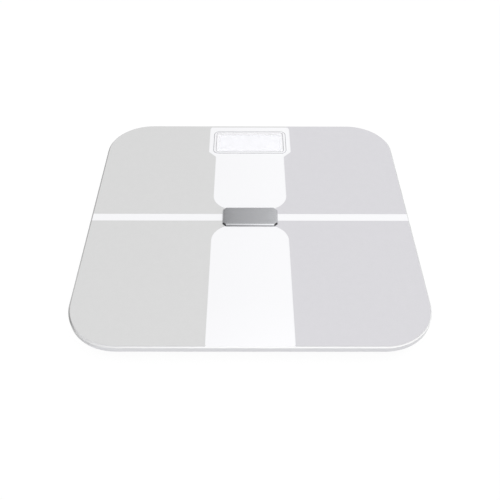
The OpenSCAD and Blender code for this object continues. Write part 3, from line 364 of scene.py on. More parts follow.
@dataclass(frozen=True)
class PaintedGlass(Finish):
    """Float glass over white enamel: a glossy white face, a polished bevel in painted light and a pale ground
    side.

    The enamel under the glass lights all of it from within, so that the body reads as pale and not as
    see-through. The tones round the edge are painted light and shade, given by place. X and Y below are x
    and y over the half sizes.
    """

    half: Span = (0.15, 0.15)       # half width and half depth of the sheet
    corner: float = 0.044           # radius of its corners
    rim: float = 0.0015             # from its outline to the white face, just past the bevel
    setback: float = 0.0016         # bare glass in front of the bevel along the back
    back: Span = (0.93, 0.96)       # Y over which the setback starts
    top: float = 0.025              # height of the face
    bevel: float = 0.0011           # height of the bevel
    skin: float = 0.0003            # depth down to which the face keeps its colour
    blur: float = 0.0001            # half width of the line between two tones
    painted_light_grey: float = 0.7               # painted light: grey of the bevel, before the weighted terms
    painted_light_weights: tuple[float, float, float] = (0.16, -0.14, 0.14)   # of X^3, Y and Y^2 - X^2 in the bevel's painted light and shade
    brow: float = 0.00025           # upper part of the bevel, which shows a painted reflection of the print beside it
    brow_left: Span = (-0.97, -0.9)   # X over which the brow starts
    brow_back: Span = (0.6, 0.9)    # Y over which it ends
    panel: Span = (0.0355, 0.0432)  # half widths of the white panel at the front and back edges
    panel_turn: Span = (-0.1, 0.1)  # Y over which one gives way to the other
    stripe: float = 0.00475         # half depth of the white stripe
    film: str = "D8D8DA"            # colour of the electrode fields
    enamel: str = "FAFAFC"          # colour of the panel, the stripe and the face
    painted_shade: float = 0.5              # painted shade: share by which the front left corner is darker
    shade_side: Span = (-1.0, -0.8)   # X over which the side's painted shade ends
    shade_bevel: Span = (-0.98, -0.9)   # X over which the bevel's painted shade ends
    shade_front: Span = (-0.85, -0.6)   # Y over which both end

    def paint(self, tree: Tree, shader: Node, place: Socket) -> None:
        """Links the tones of the face, the bevel and the side.

        The bevel's brow shows a painted reflection of the print beside it, apart from the left edge and the
        back.
        The bevel's grey is painted light and shade, and at the front left corner painted shade darkens the
        side and the bevel.

        Args:
            tree: the material's tree.
            shader: its Principled BSDF.
            place: Object coordinates.
        """
        x, y, z = map(Field, add_node(tree, "ShaderNodeSeparateXYZ", Vector=place).outputs)
        across, along = x / self.half[0], y / self.half[1]
        # Painted shade at the front left corner, on the side and on the bevel
        front = 1 - along.step(*self.shade_front)
        side_painted_shade, bevel_painted_shade = ((1 - across.step(*span)) * front * self.painted_shade
                                   for span in (self.shade_side, self.shade_bevel))
        ahead = 1 - along.step(*self.brow_back)
        # Painted reflection of the print beside the bevel, on its upper part
        brow = across.step(*self.brow_left) * ahead * self.past(z, self.top - self.brow)
        # Painted light and shade on the bevel: brighter along the front, darker along the left
        polished = bevel_painted_shade.blend(self.polished(tree, across, along), BLACK)
        bevel = brow.blend(polished, self.printed(x, y, along))
        edge = self.past(z, self.top - self.bevel).blend(side_painted_shade.blend(linear(self.colour), BLACK), bevel)
        face = self.past(self.inwards(x, y, along), self.rim) * self.past(z, self.top - self.skin)
        self.tint(shader, face.blend(edge, linear(self.enamel)))

    def past(self, value: Field, level: float) -> Field:
        """0 where value is below level and 1 where it is above, with a blurred line between."""
        return value.step(level - self.blur, level + self.blur)

    def inwards(self, x: Field, y: Field, along: Field) -> Field:
        """Measures how far a point lies inwards from the outline.

        It is corner less the length of the part of (|x| - half_x + corner, |y| - half_y + corner) that is
        positive, and less the setback along the back.

        Args:
            x: x in metres.
            y: y in metres.
            along: Y.

        Returns:
            The distance in metres, which stops at corner.
        """
        over = [value.worked("MAXIMUM", abs(value) + (self.corner - half), 0.0)
                for value, half in zip((x, y), self.half)]
        length = x.worked("SQRT", over[0] * over[0] + over[1] * over[1])
        return self.corner - length - along.step(*self.back) * self.setback

    def polished(self, tree: Tree, across: Field, along: Field) -> Socket:
        """Paints light and shade on the polished bevel: brightest along the front, dimmest along the left.

        It is a base grey plus the weighted X^3, Y and Y^2 - X^2.

        Args:
            tree: the material's tree.
            across: X.
            along: Y.

        Returns:
            The grey as a colour.
        """
        cube = across.worked("SIGN", across) * abs(across) ** 3.0
        bow = along * along - abs(across) ** 2.0
        level = cube * self.painted_light_weights[0] + self.painted_light_grey + along * self.painted_light_weights[1] + bow * self.painted_light_weights[2]
        return add_node(tree, "ShaderNodeCombineXYZ", X=level, Y=level, Z=level).outputs[0]

    def printed(self, x: Field, y: Field, along: Field) -> Socket:
        """Gives the bevel's brow a painted reflection of the colour beside it: enamel where the panel or the
        stripe ends, film elsewhere.

        Args:
            x: x in metres.
            y: y in metres.
            along: Y.

        Returns:
            The colour.
        """
        width = along.step(*self.panel_turn) * (self.panel[1] - self.panel[0]) + self.panel[0]
        beside = x.worked("GREATER_THAN", abs(x), width) * y.worked("GREATER_THAN", abs(y), self.stripe)
        return beside.blend(linear(self.enamel), linear(self.film))


@dataclass(frozen=True)
class SolderMask(Finish):
    """Green solder mask over copper: tracks show as slightly lighter bands that stand a little proud."""

    track: str = "2F7A45"        # colour of the tracks
    track_mm: float = 6.4        # from one track to the next along the board's edges
    track_edge: Span = (0.62, 0.7)   # heights of the wave between which a track's edge lies
    patch_mm: float = 9.0        # width of the patches to which tracks keep
    patch_edge: Span = (0.48, 0.56)   # values of the noise between which a patch's edge lies
    copper_um: float = 35.0      # thickness of the copper

    def paint(self, tree: Tree, shader: Node, place: Socket) -> None:
        """Links slanting tracks, kept to patches of the board. A wave of scale 1 turns by 10 radians a unit.

        Args:
            tree: the material's tree.
            shader: its Principled BSDF.
            place: Object coordinates.
        """
        scale = per_mm(self.track_mm) * 2 * math.pi / 10
        wave = add_node(tree, "ShaderNodeTexWave", {"bands_direction": "DIAGONAL"}, Vector=place, Scale=scale,
                        Distortion=0.0)
        patch = self.noise(tree, place, self.patch_mm).step(*self.patch_edge)
        tracks = Field(wave.outputs["Fac"]).step(*self.track_edge) * patch
        self.tint(shader, tracks.blend(linear(self.colour), linear(self.track)))
        self.relief(shader, tracks, self.copper_um)


@dataclass(frozen=True)
class CellJacket(Finish):
    """Printed film shrunk on a battery: dark, with a pale band at the button end and bare nickel ends."""

    band: str = "B9BEC4"          # colour of the pale band
    nickel: str = "C9C6C0"        # colour of the bare ends
    middle: float = 0.0           # of the cell along X
    half: float = 0.02            # half of its length
    way: float = 1.0              # 1 where its button points to +X
    band_edge: Span = (0.52, 0.54)   # of the half length, from the middle towards the button
    button_edge: Span = (0.935, 0.94)
    flat_edge: Span = (0.965, 0.97)   # the same, towards the flat end
    crease_mm: float = 3.0
    crease_um: float = 8.0

    def paint(self, tree: Tree, shader: Node, place: Socket) -> None:
        """Links bands across the cell's length, from its flat end to its button end.

        Args:
            tree: the material's tree.
            shader: its Principled BSDF.
            place: Object coordinates.
        """
        x = Field(add_node(tree, "ShaderNodeSeparateXYZ", Vector=place).outputs[0])
        run = (x - self.middle) * (self.way / self.half)
        bare = run.worked("MAXIMUM", run.step(*self.button_edge), (run * -1.0).step(*self.flat_edge))
        jacket = run.step(*self.band_edge).blend(linear(self.colour), linear(self.band))
        self.tint(shader, bare.blend(jacket, linear(self.nickel)))
        tree.links.new(bare.socket, shader.inputs["Metallic"])
        self.relief(shader, self.noise(tree, place, self.crease_mm), self.crease_um)


@dataclass(frozen=True)
class FoamTape(Finish):
    """Closed-cell foam: matt, dark, with fine open cells at its cut edge."""

    cell_mm: float = 0.7
    cell_um: float = 90.0

    def paint(self, tree: Tree, shader: Node, place: Socket) -> None:
        """Links the cells to colour and relief.

        Args:
            tree: the material's tree.
            shader: its Principled BSDF.
            place: Object coordinates.
        """
        cells = add_node(tree, "ShaderNodeTexVoronoi", Vector=place, Scale=per_mm(self.cell_mm))
        depth = Field(cells.outputs["Distance"])
        self.tint(shader, self.varied(depth))
        self.relief(shader, depth, self.cell_um)


# Conductive ink, screen printed on the glass: an even satin grey that stays calm under light
FIELD_LEFT = ConductiveFilm("silver_ink_electrode_left", "D9D9D9", roughness=0.42, mottle=0.012, grain_um=4.0)
# The same ink, which takes a trace of blue on the right
FIELD_RIGHT = replace(FIELD_LEFT, name="silver_ink_electrode_right", colour="D8D7DB")
# Fired enamel: a flat, clean white with a soft gloss
ENAMEL = Finish("white_screen_enamel", "FAFAFC", roughness=0.3, mottle=0.01)
# Toughened glass, polished: the sharpest reflections on the scale, with painted light and shade round its
# edge
GLASS = PaintedGlass("toughened_float_glass", "ECECEF", roughness=0.04, ior=1.52)

# Stainless sheet, brushed lengthways: a bright plate whose reflections run out across the scratches
BADGE_STEEL = BrushedMetal("brushed_stainless_badge", "C4C5C8", roughness=0.17, metallic=1.0, mottle=0.05,
                           spread=0.03)
# Rolled spring steel with zinc: a duller grey with faint lines along the roll
ROLLED_STEEL = BrushedMetal("zinc_plated_spring_steel", "B9BBBD", roughness=0.34, metallic=1.0, grain=Grain.Y,
                            mottle=0.08)
# Bright zinc on cold-headed screws: small, uneven glints
ZINC_SCREW = Finish("zinc_plated_screw", "C6C8C9", roughness=0.3, metallic=1.0, mottle=0.08, mottle_mm=0.8)
# Nickel on spring wire and contact plates: a slightly warm, clean shine
NICKEL = Finish("nickel_plated_contact", "D2CEC6", roughness=0.22, metallic=1.0, mottle=0.04, mottle_mm=1.5)
# Shrunk printed film: dark blue with a low gloss and slight creases
JACKET = CellJacket("printed_cell_jacket", "27364F", roughness=0.35)
# Reflowed tin: soft bright beads
SOLDER = Finish("tin_solder", "CFD0D2", roughness=0.25, metallic=1.0, mottle=0.04, mottle_mm=0.7)
# Turned and tumbled brass: a warm shine with small dents
BRASS = Finish("tumbled_brass", "D9B56A", roughness=0.28, metallic=1.0, mottle=0.06, mottle_mm=1.0)

# ABS from a spark-eroded mould: a fine matt grain that softens every highlight
SHELL = Finish("grained_abs_shell", "E6E6E8", roughness=0.55, mottle=0.012, mottle_mm=14, grain_mm=0.5,
               grain_um=20)
# ABS from a plainer mould: a little smoother and greyer
FOOT = Finish("moulded_abs_foot", "D8D8DB", roughness=0.5, mottle=0.015, grain_um=14)
# ABS from a polished mould, lacquered: a glossy white with a slow waviness
BEZEL = Finish("glossy_abs_bezel", "FAFAFC", roughness=0.14, mottle=0.004, grain_mm=2.5, grain_um=2, coat=0.3)
# Uncoloured ABS: a warm off-white
HOLDER = Finish("moulded_abs_holder", "E4E3DF", roughness=0.5, mottle=0.02)
# Dark ABS: a grey that marks the button on the pale base
BUTTON = Finish("moulded_abs_button", "4C4F55", roughness=0.45, mottle=0.03, grain_um=16)
# Cast acrylic: almost clear, with a sharp surface gloss and a light haze
LENS = Finish("clear_acrylic_window", "F8F8FA", roughness=0.03, ior=1.49, mottle=0.0, spread=0.01,
              grain_um=0.5, alpha=0.3)
# Milky acrylic: a cool, even white
LIGHT_GUIDE = Finish("diffusing_light_guide", "F2F6FA", roughness=0.35, mottle=0.01)
# Polariser film over its reflector: a pale silvery grey without a pattern
LCD = Finish("reflective_lcd_polariser", "ECECEF", roughness=0.25, ior=1.5, mottle=0.006, mottle_mm=12,
             grain_um=2)

# Painted shade: matt grey beads along the frame's edges, which darken them as their shade would
EDGE_SHADE_GREY = Finish("grey_seal_rubber", "B2B2B6", roughness=0.6, mottle=0.02, grain_um=6)
# Moulded rubber with a coarse skin: dark and dull, so that the feet read as soft
PAD = Finish("non_slip_pad_rubber", "63666B", roughness=0.75, mottle=0.05, mottle_mm=3, grain_mm=0.4,
             grain_um=40)
# Foam between glass and base and under the badge: a dull, dark line in the gap
TAPE = FoamTape("closed_cell_foam_tape", "3B3B3D", roughness=0.9, mottle=0.1)
# Silicone with carbon layers too fine to see: a matt pink bar
ZEBRA = Finish("striped_connector_rubber", "D99AA0", roughness=0.6, mottle=0.05, mottle_mm=0.5)
# Poured silicone: a white skin that flowed before it set, so it undulates
SILICONE = Finish("white_silicone_potting", "EFEFF0", roughness=0.35, mottle=0.02, mottle_mm=2, grain_mm=1.5,
                  grain_um=60)
# Extruded vinyl: a waxy gloss in the colour of its wire
WIRE_RED = Finish("red_wire_insulation", "B5221E", roughness=0.4, mottle=0.05, mottle_mm=2)
WIRE_BLACK = Finish("black_wire_insulation", "1E1E20", roughness=0.4, mottle=0.06, mottle_mm=2)
WIRE_WHITE = Finish("white_wire_insulation", "E9E8E4", roughness=0.4, mottle=0.03, mottle_mm=2)

# Solder mask on a glass fibre board: a deep green with paler tracks
BOARD = SolderMask("green_solder_mask", "1F5A34", roughness=0.35)
# Moulded epoxy: near black and slightly rough
EPOXY = Finish("black_moulded_epoxy", "1B1B1D", roughness=0.5, mottle=0.08, mottle_mm=1.2, grain_um=18)
# Moulded nylon: near black with a low gloss
SWITCH = Finish("black_switch_housing", "242427", roughness=0.45, mottle=0.05)

# -------------------------------------------------------------------------------------------- meshes


@dataclass(frozen=True)
class Shape:
    """Points and faces of one closed surface, or of several."""

    points: np.ndarray
    faces: tuple[np.ndarray, ...]

    @classmethod
    def lofted(cls, rings: np.ndarray, closed: bool = False) -> "Shape":
        """Makes a closed surface of a stack of rings.

        Each face joins the points P(i, j), P(i, j + 1), P(i + 1, j + 1) and P(i + 1, j). It points outwards
        where the rings turn counter-clockwise round the way in which the stack runs.

        Args:
            rings: array of rings by points by three.
            closed: joins the last ring to the first. Otherwise a flat face closes each end.

        Returns:
            The surface.
        """
        index = np.arange(rings.shape[0] * rings.shape[1]).reshape(rings.shape[:2])
        stack = np.vstack([index, index[:1]]) if closed else index
        turned = np.roll(stack, -1, 1)
        sides = np.stack([stack[:-1], turned[:-1], turned[1:], stack[1:]], -1).reshape(-1, 4)
        ends = () if closed else (index[:1, ::-1], index[-1:])
        return cls(rings.reshape(-1, 3), (sides, *ends))

    @classmethod
    def joined(cls, shapes: Sequence["Shape"]) -> "Shape":
        """Puts several surfaces into one.

        Args:
            shapes: the surfaces.

        Returns:
            One shape, whose faces count on from shape to shape.
        """
        starts = np.cumsum([0, *(len(shape.points) for shape in shapes)])
        faces = tuple(group + start for shape, start in zip(shapes, starts) for group in shape.faces)
        return cls(np.vstack([shape.points for shape in shapes]), faces)

    def piece(self, name: str, finish: Finish, body: Body, nodes: Sequence[str] = (), slot: str = "",
              crease: float = 38.0) -> bpy.types.Object:
        """Makes the object, shaded smooth apart from edges sharper than crease.

        Args:
            name: the piece's name.
            finish: its material.
            body: the body on which it rides.
            nodes: frame nodes that it stands for.
            slot: the record's material slot; not used.
            crease: angle in degrees.

        Returns:
            The object, in the scene.
        """
        mesh = bpy.data.meshes.new(name)
        mesh.from_pydata(self.points.tolist(), [], [face for group in self.faces for face in group.tolist()])
        mesh.shade_smooth()
        mesh.set_sharp_from_angle(angle=math.radians(crease))
        mesh.materials.append(finish.material())
        made = bpy.data.objects.new(name, mesh)
        bpy.context.scene.collection.objects.link(made)
        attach(made, body.value)
        if nodes:
            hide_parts(*nodes)
        LOG.info("made %s with %d faces on %s", name, len(mesh.polygons), body.value)
        return made


def eased(points: np.ndarray, reach: float | np.ndarray, steps: int, closed: bool = True) -> np.ndarray:
    """Rounds the corners of an outline, or of a stack of outlines.

    A corner p becomes a parabola between the points a and b that lie reach away from it along its two edges:
    (1 - t)^2 a + 2 t (1 - t) p + t^2 b.

    Args:
        points: array whose last two axes are the corners and their coordinates.
        reach: distance from each corner at which its curve starts.
        steps: points in each curve.
        closed: rounds the first and last corners too. Otherwise they stay as ends.

    Returns:
        The same stack of outlines, with steps points for each corner.
    """
    inner = points if closed else points[..., 1:-1, :]
    back, ahead = np.roll(points, 1, -2), np.roll(points, -1, -2)
    if not closed:
        back, ahead = back[..., 1:-1, :], ahead[..., 1:-1, :]
    edges = (back - inner, ahead - inner)
    a, b = (inner + edge / np.linalg.norm(edge, axis=-1, keepdims=True) * reach for edge in edges)
    t = np.linspace(0, 1, steps)[:, None]
    curves = (1 - t) ** 2 * a[..., None, :] + 2 * t * (1 - t) * inner[..., None, :] + t**2 * b[..., None, :]
    path = curves.reshape(*inner.shape[:-2], -1, inner.shape[-1])
    return path if closed else np.concatenate([points[..., :1, :], path, points[..., -1:, :]], -2)


def rounded_rings(half_x: np.ndarray, half_y: np.ndarray, radius: np.ndarray, height: np.ndarray,
                  centre: Vector, steps: int = 12) -> np.ndarray:
    """Rings round rectangles with rounded corners, counter-clockwise as seen from above.

    Corner k adds r (cos a, sin a) to its middle (+-(half_x - r), +-(half_y - r)), with a from 90 k to
    90 k + 90 degrees.

    Args:
        half_x: half width of each ring.
        half_y: half depth of each ring.
        radius: corner radius of each ring.
        height: height of each ring over the centre.
        centre: middle of the rings.
        steps: points in each corner.

    Returns:
        An array of rings by points by three.
    """
    quarter = np.linspace(0, math.pi / 2, steps)
    angle = (np.arange(4)[:, None] * math.pi / 2 + quarter).reshape(-1)
    side_x, side_y = (np.repeat(signs, steps) for signs in ([1, -1, -1, 1], [1, 1, -1, -1]))
    r = radius[:, None]
    x = side_x * (half_x[:, None] - r) + r * np.cos(angle)
    y = side_y * (half_y[:, None] - r) + r * np.sin(angle)
    return np.stack([x, y, height[:, None] + 0 * x], -1) + np.array(centre)


def turned(profile: np.ndarray, sides: int, origin: Sequence[float], axis: Sequence[float]) -> np.ndarray:
    """Rings of a profile turned round an axis that isn't Y.

    A point (h, r) of the profile becomes origin + h axis + r (cos a u + sin a v) at every angle a, with u
    along Y and v = axis cross u.

    Args:
        profile: array of height and radius pairs.
        sides: points in each ring.
        origin: where height 0 lies.
        axis: unit direction in which heights run.

    Returns:
        An array of rings by points by three.
    """
    u = np.array([0.0, 1.0, 0.0])
    v = np.cross(axis, u)
    angle = np.linspace(0, 2 * math.pi, sides, endpoint=False)[None, :, None]
    h, r = profile[:, :1, None], profile[:, 1:, None]
    return np.asarray(origin) + h * np.asarray(axis) + r * (np.cos(angle) * u + np.sin(angle) * v)


def tube(path: np.ndarray, radius: float, sides: int, across: np.ndarray) -> np.ndarray:
    """Rings of a round bar along a path: path + radius (cos a u + sin a v).

    u is the given direction made square to the path's tangent, and v is tangent cross u.

    Args:
        path: array of points.
        radius: radius of the bar.
        sides: points in each ring.
        across: a direction for each point that is nowhere along the path.

    Returns:
        An array of rings by points by three.
    """
    tangent = np.gradient(path, axis=0)
    tangent /= np.linalg.norm(tangent, axis=1, keepdims=True)
    u = across - np.sum(across * tangent, 1, keepdims=True) * tangent
    u /= np.linalg.norm(u, axis=1, keepdims=True)
    v = np.cross(tangent, u)
    angle = np.linspace(0, 2 * math.pi, sides, endpoint=False)[None, :, None]
    return path[:, None] + radius * (np.cos(angle) * u[:, None] + np.sin(angle) * v[:, None])


def dress(finishes: dict[str, Finish]) -> None:
    """Gives frame nodes their materials.

    Args:
        finishes: finish of each node by name.
    """
    for node, finish in finishes.items():
        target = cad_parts[node]
        target.data.materials.clear()
        target.data.materials.append(finish.material())
        LOG.info("dressed %s in %s", node, finish.name)


# -------------------------------------------------------------------------------------------- sub-assemblies


@dataclass
class Platform:
    """The glass, its print and the four electrode fields."""

    rim: float = 1.5 * MM     # from the glass's outline to its white face, just past the bevel
    bevel: float = 1.1 * MM   # height of the bevel

    def build(self) -> None:
        """Dresses the glass, the print and the fields."""
        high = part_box("glass_platform")[1]
        glass = replace(GLASS, half=(high.x, high.y), rim=self.rim, top=high.z, bevel=self.bevel)
        dress({"glass_platform": glass, "back_print": ENAMEL,
               "electrode_toe_left": FIELD_LEFT, "electrode_heel_left": FIELD_LEFT,
               "electrode_toe_right": FIELD_RIGHT, "electrode_heel_right": FIELD_RIGHT})


@dataclass
class Badge:
    """The raised plate in the middle, with its pad and contacts."""

    bevel: float = 1.5 * MM      # width of the bevel in plan
    brow: float = 0.75 * MM      # width of its upper, flatter part
    brow_drop: float = 0.42 * MM
    foot: float = 0.2 * MM       # height of the upright edge under the bevel
    face_cut: float = 2.3 * MM   # cut corners of the top face
    least_cut: float = 0.1       # share of a ring's half depth below which its cut doesn't fall
    recess: float = 0.3 * MM     # depth of the hollow underneath
    crown: float = 0.1 * MM      # fall of the top face from its middle to its edge
    core: float = 1.2 * MM       # half depth of the innermost ring
    soft: float = 0.15 * MM      # rounding of every edge
    corner: float = 0.4 * MM     # rounding of the plan's corners
    corner_share: float = 0.35   # most of a cut that the rounding takes
    steps: int = 6               # points in each rounding
    rings: int = 14              # rings over the top face

    def build(self) -> None:
        """Makes the plate and dresses what lies under it."""
        Shape.lofted(self.plate()).piece(
            "badge_plate", BADGE_STEEL, Body.SCALE, ["centre_badge"], "badge_metal", crease=60)
        dress({"badge_tape": TAPE, "electrode_contacts": BRASS})

    def plate(self) -> np.ndarray:
        """Rings of the plate, from its hollow underside out round the rim and in over the crowned top.

        A ring inset d from the rim is an octagon of half sizes (hx - d, hy - d). Its cut shrinks by
        (2 - sqrt 2) d, as the cut of an outline moved in by d does, down to least_cut (hy - d). The top rises
        from the bevel to its middle as crown times 1 - (1 - s)^2, where s is the share of the way there.

        Returns:
            An array of rings by points by three.
        """
        low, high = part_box("centre_badge")
        middle, half, tall = (low + high) / 2, (high - low) / 2, high.z - low.z
        edge, inner = tall - self.crown, half.y - self.core
        outline = np.array([
            [inner, self.recess], [self.bevel, self.recess], [self.bevel, 0], [0, 0], [0, self.foot],
            [self.bevel - self.brow, edge - self.brow_drop], [self.bevel, edge],
            [self.bevel + 3 * self.soft, edge]])
        top = np.linspace(self.bevel + 4 * self.soft, inner, self.rings)
        share = (top - self.bevel) / (half.y - self.bevel)
        rise = self.crown * (1 - (1 - share) ** 2)
        rim = eased(outline, self.soft, self.steps, closed=False)
        d, z = np.vstack([rim, np.stack([top, edge + rise], -1)]).T
        hx, hy = half.x - d, half.y - d
        cut = np.maximum(self.face_cut + (self.bevel - d) * (2 - math.sqrt(2)), self.least_cut * hy)
        reach = np.minimum(self.corner, self.corner_share * cut)[:, None, None]
        right = [[hx, cut - hy], [hx, hy - cut], [hx - cut, hy], [cut - hx, hy]]
        corners = np.moveaxis(np.array([*right, *([-x, -y] for x, y in right)]), -1, 0)
        plan = eased(corners, reach, self.steps)
        height = np.broadcast_to(z[:, None, None], (*plan.shape[:2], 1))
        return np.concatenate([plan, height], -1) + np.array([middle.x, middle.y, low.z])


@dataclass
class Display:
    """The window at the back, from its frame down to the connector under the panel."""

    side: float = 3.6 * MM        # width of the frame's side rails
    end: float = 3.4 * MM         # width of its front and back rails
    window_r: float = 2.5 * MM    # radius of the window's corners
    barrel_r: float = 3.5 * MM    # the same for the barrel's outer wall
    lap_r: float = 0.4 * MM       # and for its inner wall
    proud: float = 0.5 * MM       # height of the frame with its beads over the glass
    lip: float = 0.8 * MM         # thickness of the lip over the window
    slope: float = 0.5 * MM       # run of the slanted wall round the window
    lap: float = 1.05 * MM        # from the window's edge to the barrel's inner wall
    flange: float = 1.5 * MM      # from the barrel's outer wall to the frame's outer edge
    soft: float = 0.18 * MM       # rounding of the frame's edges
    steps: int = 5                # points in each rounding
    lines: Span = (0.6 * MM, 0.7 * MM)   # widths of the inner and outer grey beads of painted shade on the frame
    line_in: float = 0.05 * MM    # from the frame's edge to the bead next to it
    line_h: float = 0.1 * MM      # height of the beads over the frame
    border: float = 1.5 * MM      # width of the print round the window's face
    border_h: float = 0.02 * MM   # thickness of that print

    def build(self) -> None:
        """Makes the frame, its beads and the window's border, and dresses what lies under them."""
        self.surround()
        self.beads()
        self.edging()
        dress({"display_lens": LENS, "lcd_panel": LCD, "lcd_backlight": LIGHT_GUIDE, "lcd_holder": HOLDER,
               "zebra_strip": ZEBRA})
        # Light reaches the panel through the clear lens
        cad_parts["display_lens"].visible_shadow = False

    def place(self) -> tuple[Vector, float, float]:
        """Finds the window.

        Returns:
            Its middle at the height of the glass, its half width and its half depth.
        """
        low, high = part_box("display_bezel")
        centre = (low + high) / 2
        centre.z = high.z - self.proud
        return centre, (high.x - low.x) / 2 - self.side, (high.y - low.y) / 2 - self.end

    def rings(self, profile: np.ndarray) -> np.ndarray:
        """Carries a profile round the window.

        Args:
            profile: array of distance out from the window's edge, height over the glass and corner radius.

        Returns:
            An array of rings by points by three.
        """
        centre, half_x, half_y = self.place()
        out, height, radius = profile.T
        return rounded_rings(half_x + out, half_y + out * self.end / self.side, radius, height, centre)

    def surround(self) -> None:
        """Makes the frame: a lip over the window, a flange on the glass and a barrel through the cut-out."""
        deep = self.place()[0].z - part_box("display_bezel")[0].z
        barrel, outer_r, slant = self.side - self.flange, self.window_r + self.side, self.slope / 2
        top, under = self.proud - self.line_h, self.proud - self.lip
        edge = np.array([
            [self.lap, -deep, self.lap_r], [barrel, -deep, self.barrel_r], [barrel, 0, self.barrel_r],
            [self.side, 0, outer_r], [self.side, top, outer_r], [slant, top, self.window_r + slant],
            [-slant, under, self.window_r - slant], [self.lap, under, self.lap_r]])
        Shape.lofted(self.rings(eased(edge, self.soft, self.steps)), closed=True).piece(
            "display_frame", BEZEL, Body.SCALE, ["display_bezel"], "bezel_white")

    def beads(self) -> None:
        """Makes the two thin grey beads that outline the frame, one at each edge of its top: painted shade
        there.

        Their section is given in shares of a bead's width and of line_h. Its lower half lies in the frame.
        """
        section = np.array([[0, -1], [1, -1], [1, 0.4], [0.8, 1], [0.2, 1], [0, 0.4]])
        starts = (self.slope / 2 + self.line_in, self.side - self.line_in - self.lines[1])
        rounds = []
        for start, width in zip(starts, self.lines):
            out, rise = (section * [width, self.line_h]).T
            profile = [start + out, rise + self.proud - self.line_h, self.window_r + start + out]
            rounds.append(Shape.lofted(self.rings(np.column_stack(profile)), closed=True))
        Shape.joined(rounds).piece("frame_beads", EDGE_SHADE_GREY, Body.SCALE, slot="pad_rubber")

    def edging(self) -> None:
        """Makes the white border of print on the window along the lip, which hides the gap below the lip."""
        outer = self.soft / 2 - self.slope / 2
        under = self.proud - self.lip
        out = outer - self.border * np.array([1, 0, 0, 1])
        height = under + self.border_h * np.array([0, 0, 1, 1])
        rings = self.rings(np.column_stack([out, height, self.window_r + out]))
        printed = Shape.lofted(rings, closed=True).piece(
            "window_border", ENAMEL, Body.SCALE, slot="white_print")
        # As the lens, so that no line darkens the panel
        printed.visible_shadow = False


@dataclass
class Controller:
    """The board with its parts, screws, switch and button."""

    def build(self) -> None:
        """Dresses the board and the unit button."""
        dress({"main_board": BOARD, "board_components": EPOXY, "board_screws": ZINC_SCREW,
               "unit_switch": SWITCH, "unit_button": BUTTON, "switch_plunger": HOLDER})


@dataclass
class Base:
    """The moulded base and the tape that holds the glass on it."""

    def build(self) -> None:
        """Dresses the base."""
        dress({"base_shell": SHELL, "mounting_tape": TAPE})


@dataclass
class Power:
    """The battery bay: three cells, springs, plates and the door."""

    cell_edge: float = 0.09 * MM   # rounding of every edge on a cell
    edge_steps: int = 4          # points in each rounding
    cell_sides: int = 64         # points round a cell
    contact_t: float = 0.4 * MM  # thickness of the contact plates
    spring_r: float = 3.5 * MM   # outer radius of a spring's first coil
    spring_tip_r: float = 2.2 * MM   # the same for its last coil
    spring_wire: float = 0.6 * MM
    turns: float = 3.0
    spring_points: int = 160     # points along a spring
    wire_sides: int = 12         # points round its wire

    def build(self) -> None:
        """Makes the cells and springs and dresses the contacts and the door."""
        springs = []
        for number in (1, 2, 3):
            way = 1.0 if number % 2 else -1.0
            self.cell(number, way)
            springs.append(Shape.lofted(self.spring(number, way)))
        Shape.joined(springs).piece(
            "contact_springs", NICKEL, Body.SCALE, ["battery_springs"], "nickel", crease=60)
        dress({"battery_plates": NICKEL, "battery_door": SHELL})

    def cell(self, number: int, way: float) -> None:
        """Makes one cell: a button, its seal, the jacket with rolled ends and the dished flat end.

        Its outline gives distances from the button's tip and radii, in millimetres.

        Args:
            number: number of the cell.
            way: 1 where the button points to +X.
        """
        low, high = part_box(f"aaa_cell_{number}")
        centre, length, r = (low + high) / 2, high.x - low.x, (high.z - low.z) / 2
        far, wide = length / MM, r / MM
        outline = np.array([
            [0, 0.3], [0, 1.9], [0.8, 2.1], [0.8, 3.3], [1.1, 3.4], [1.1, 4.2], [0.9, 4.4],
            [0.9, wide - 0.4], [1.5, wide], [far - 0.5, wide], [far, wide - 0.6],
            [far, 4.0], [far - 0.2, 3.8], [far - 0.2, 0.3]])
        profile = eased(outline * MM, self.cell_edge, self.edge_steps, closed=False)
        start = (centre.x + way * length / 2, centre.y, centre.z)
        jacket = replace(JACKET, name=f"{JACKET.name}_{number}", middle=centre.x, half=length / 2, way=way)
        Shape.lofted(turned(profile, self.cell_sides, start, (-way, 0, 0))).piece(
            f"cell_{number}", jacket, Body.SCALE, [f"aaa_cell_{number}"], "cell_jacket", crease=50)

    def spring(self, number: int, way: float) -> np.ndarray:
        """Rings of the conical spring at one cell's flat end.

        At share f of its length the wire's middle is at angle 360 turns f, at a radius that falls evenly from
        spring_r to spring_tip_r, and at a height that follows f - sin(2 pi f) / (2 pi), so that both end
        coils lie flat.

        Args:
            number: number of the cell.
            way: 1 where the button points to +X.

        Returns:
            An array of rings by points by three.
        """
        low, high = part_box(f"aaa_cell_{number}")
        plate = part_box("battery_plates")[1].x - self.contact_t
        gap = plate - max(-low.x if way > 0 else high.x, 0)
        f = np.linspace(0, 1, self.spring_points)
        angle = 2 * math.pi * self.turns * f
        radius = self.spring_r - self.spring_wire / 2 + (self.spring_tip_r - self.spring_r) * f
        rise = self.spring_wire / 2 + (gap - self.spring_wire) * (f - np.sin(2 * math.pi * f) / (2 * math.pi))
        out = np.stack([0 * f, np.cos(angle), np.sin(angle)], -1)
        path = np.array([-way * plate, (low.y + high.y) / 2, (low.z + high.z) / 2]) + radius[:, None] * out
        path[:, 0] += way * rise
        return tube(path, self.spring_wire / 2, self.wire_sides, out)


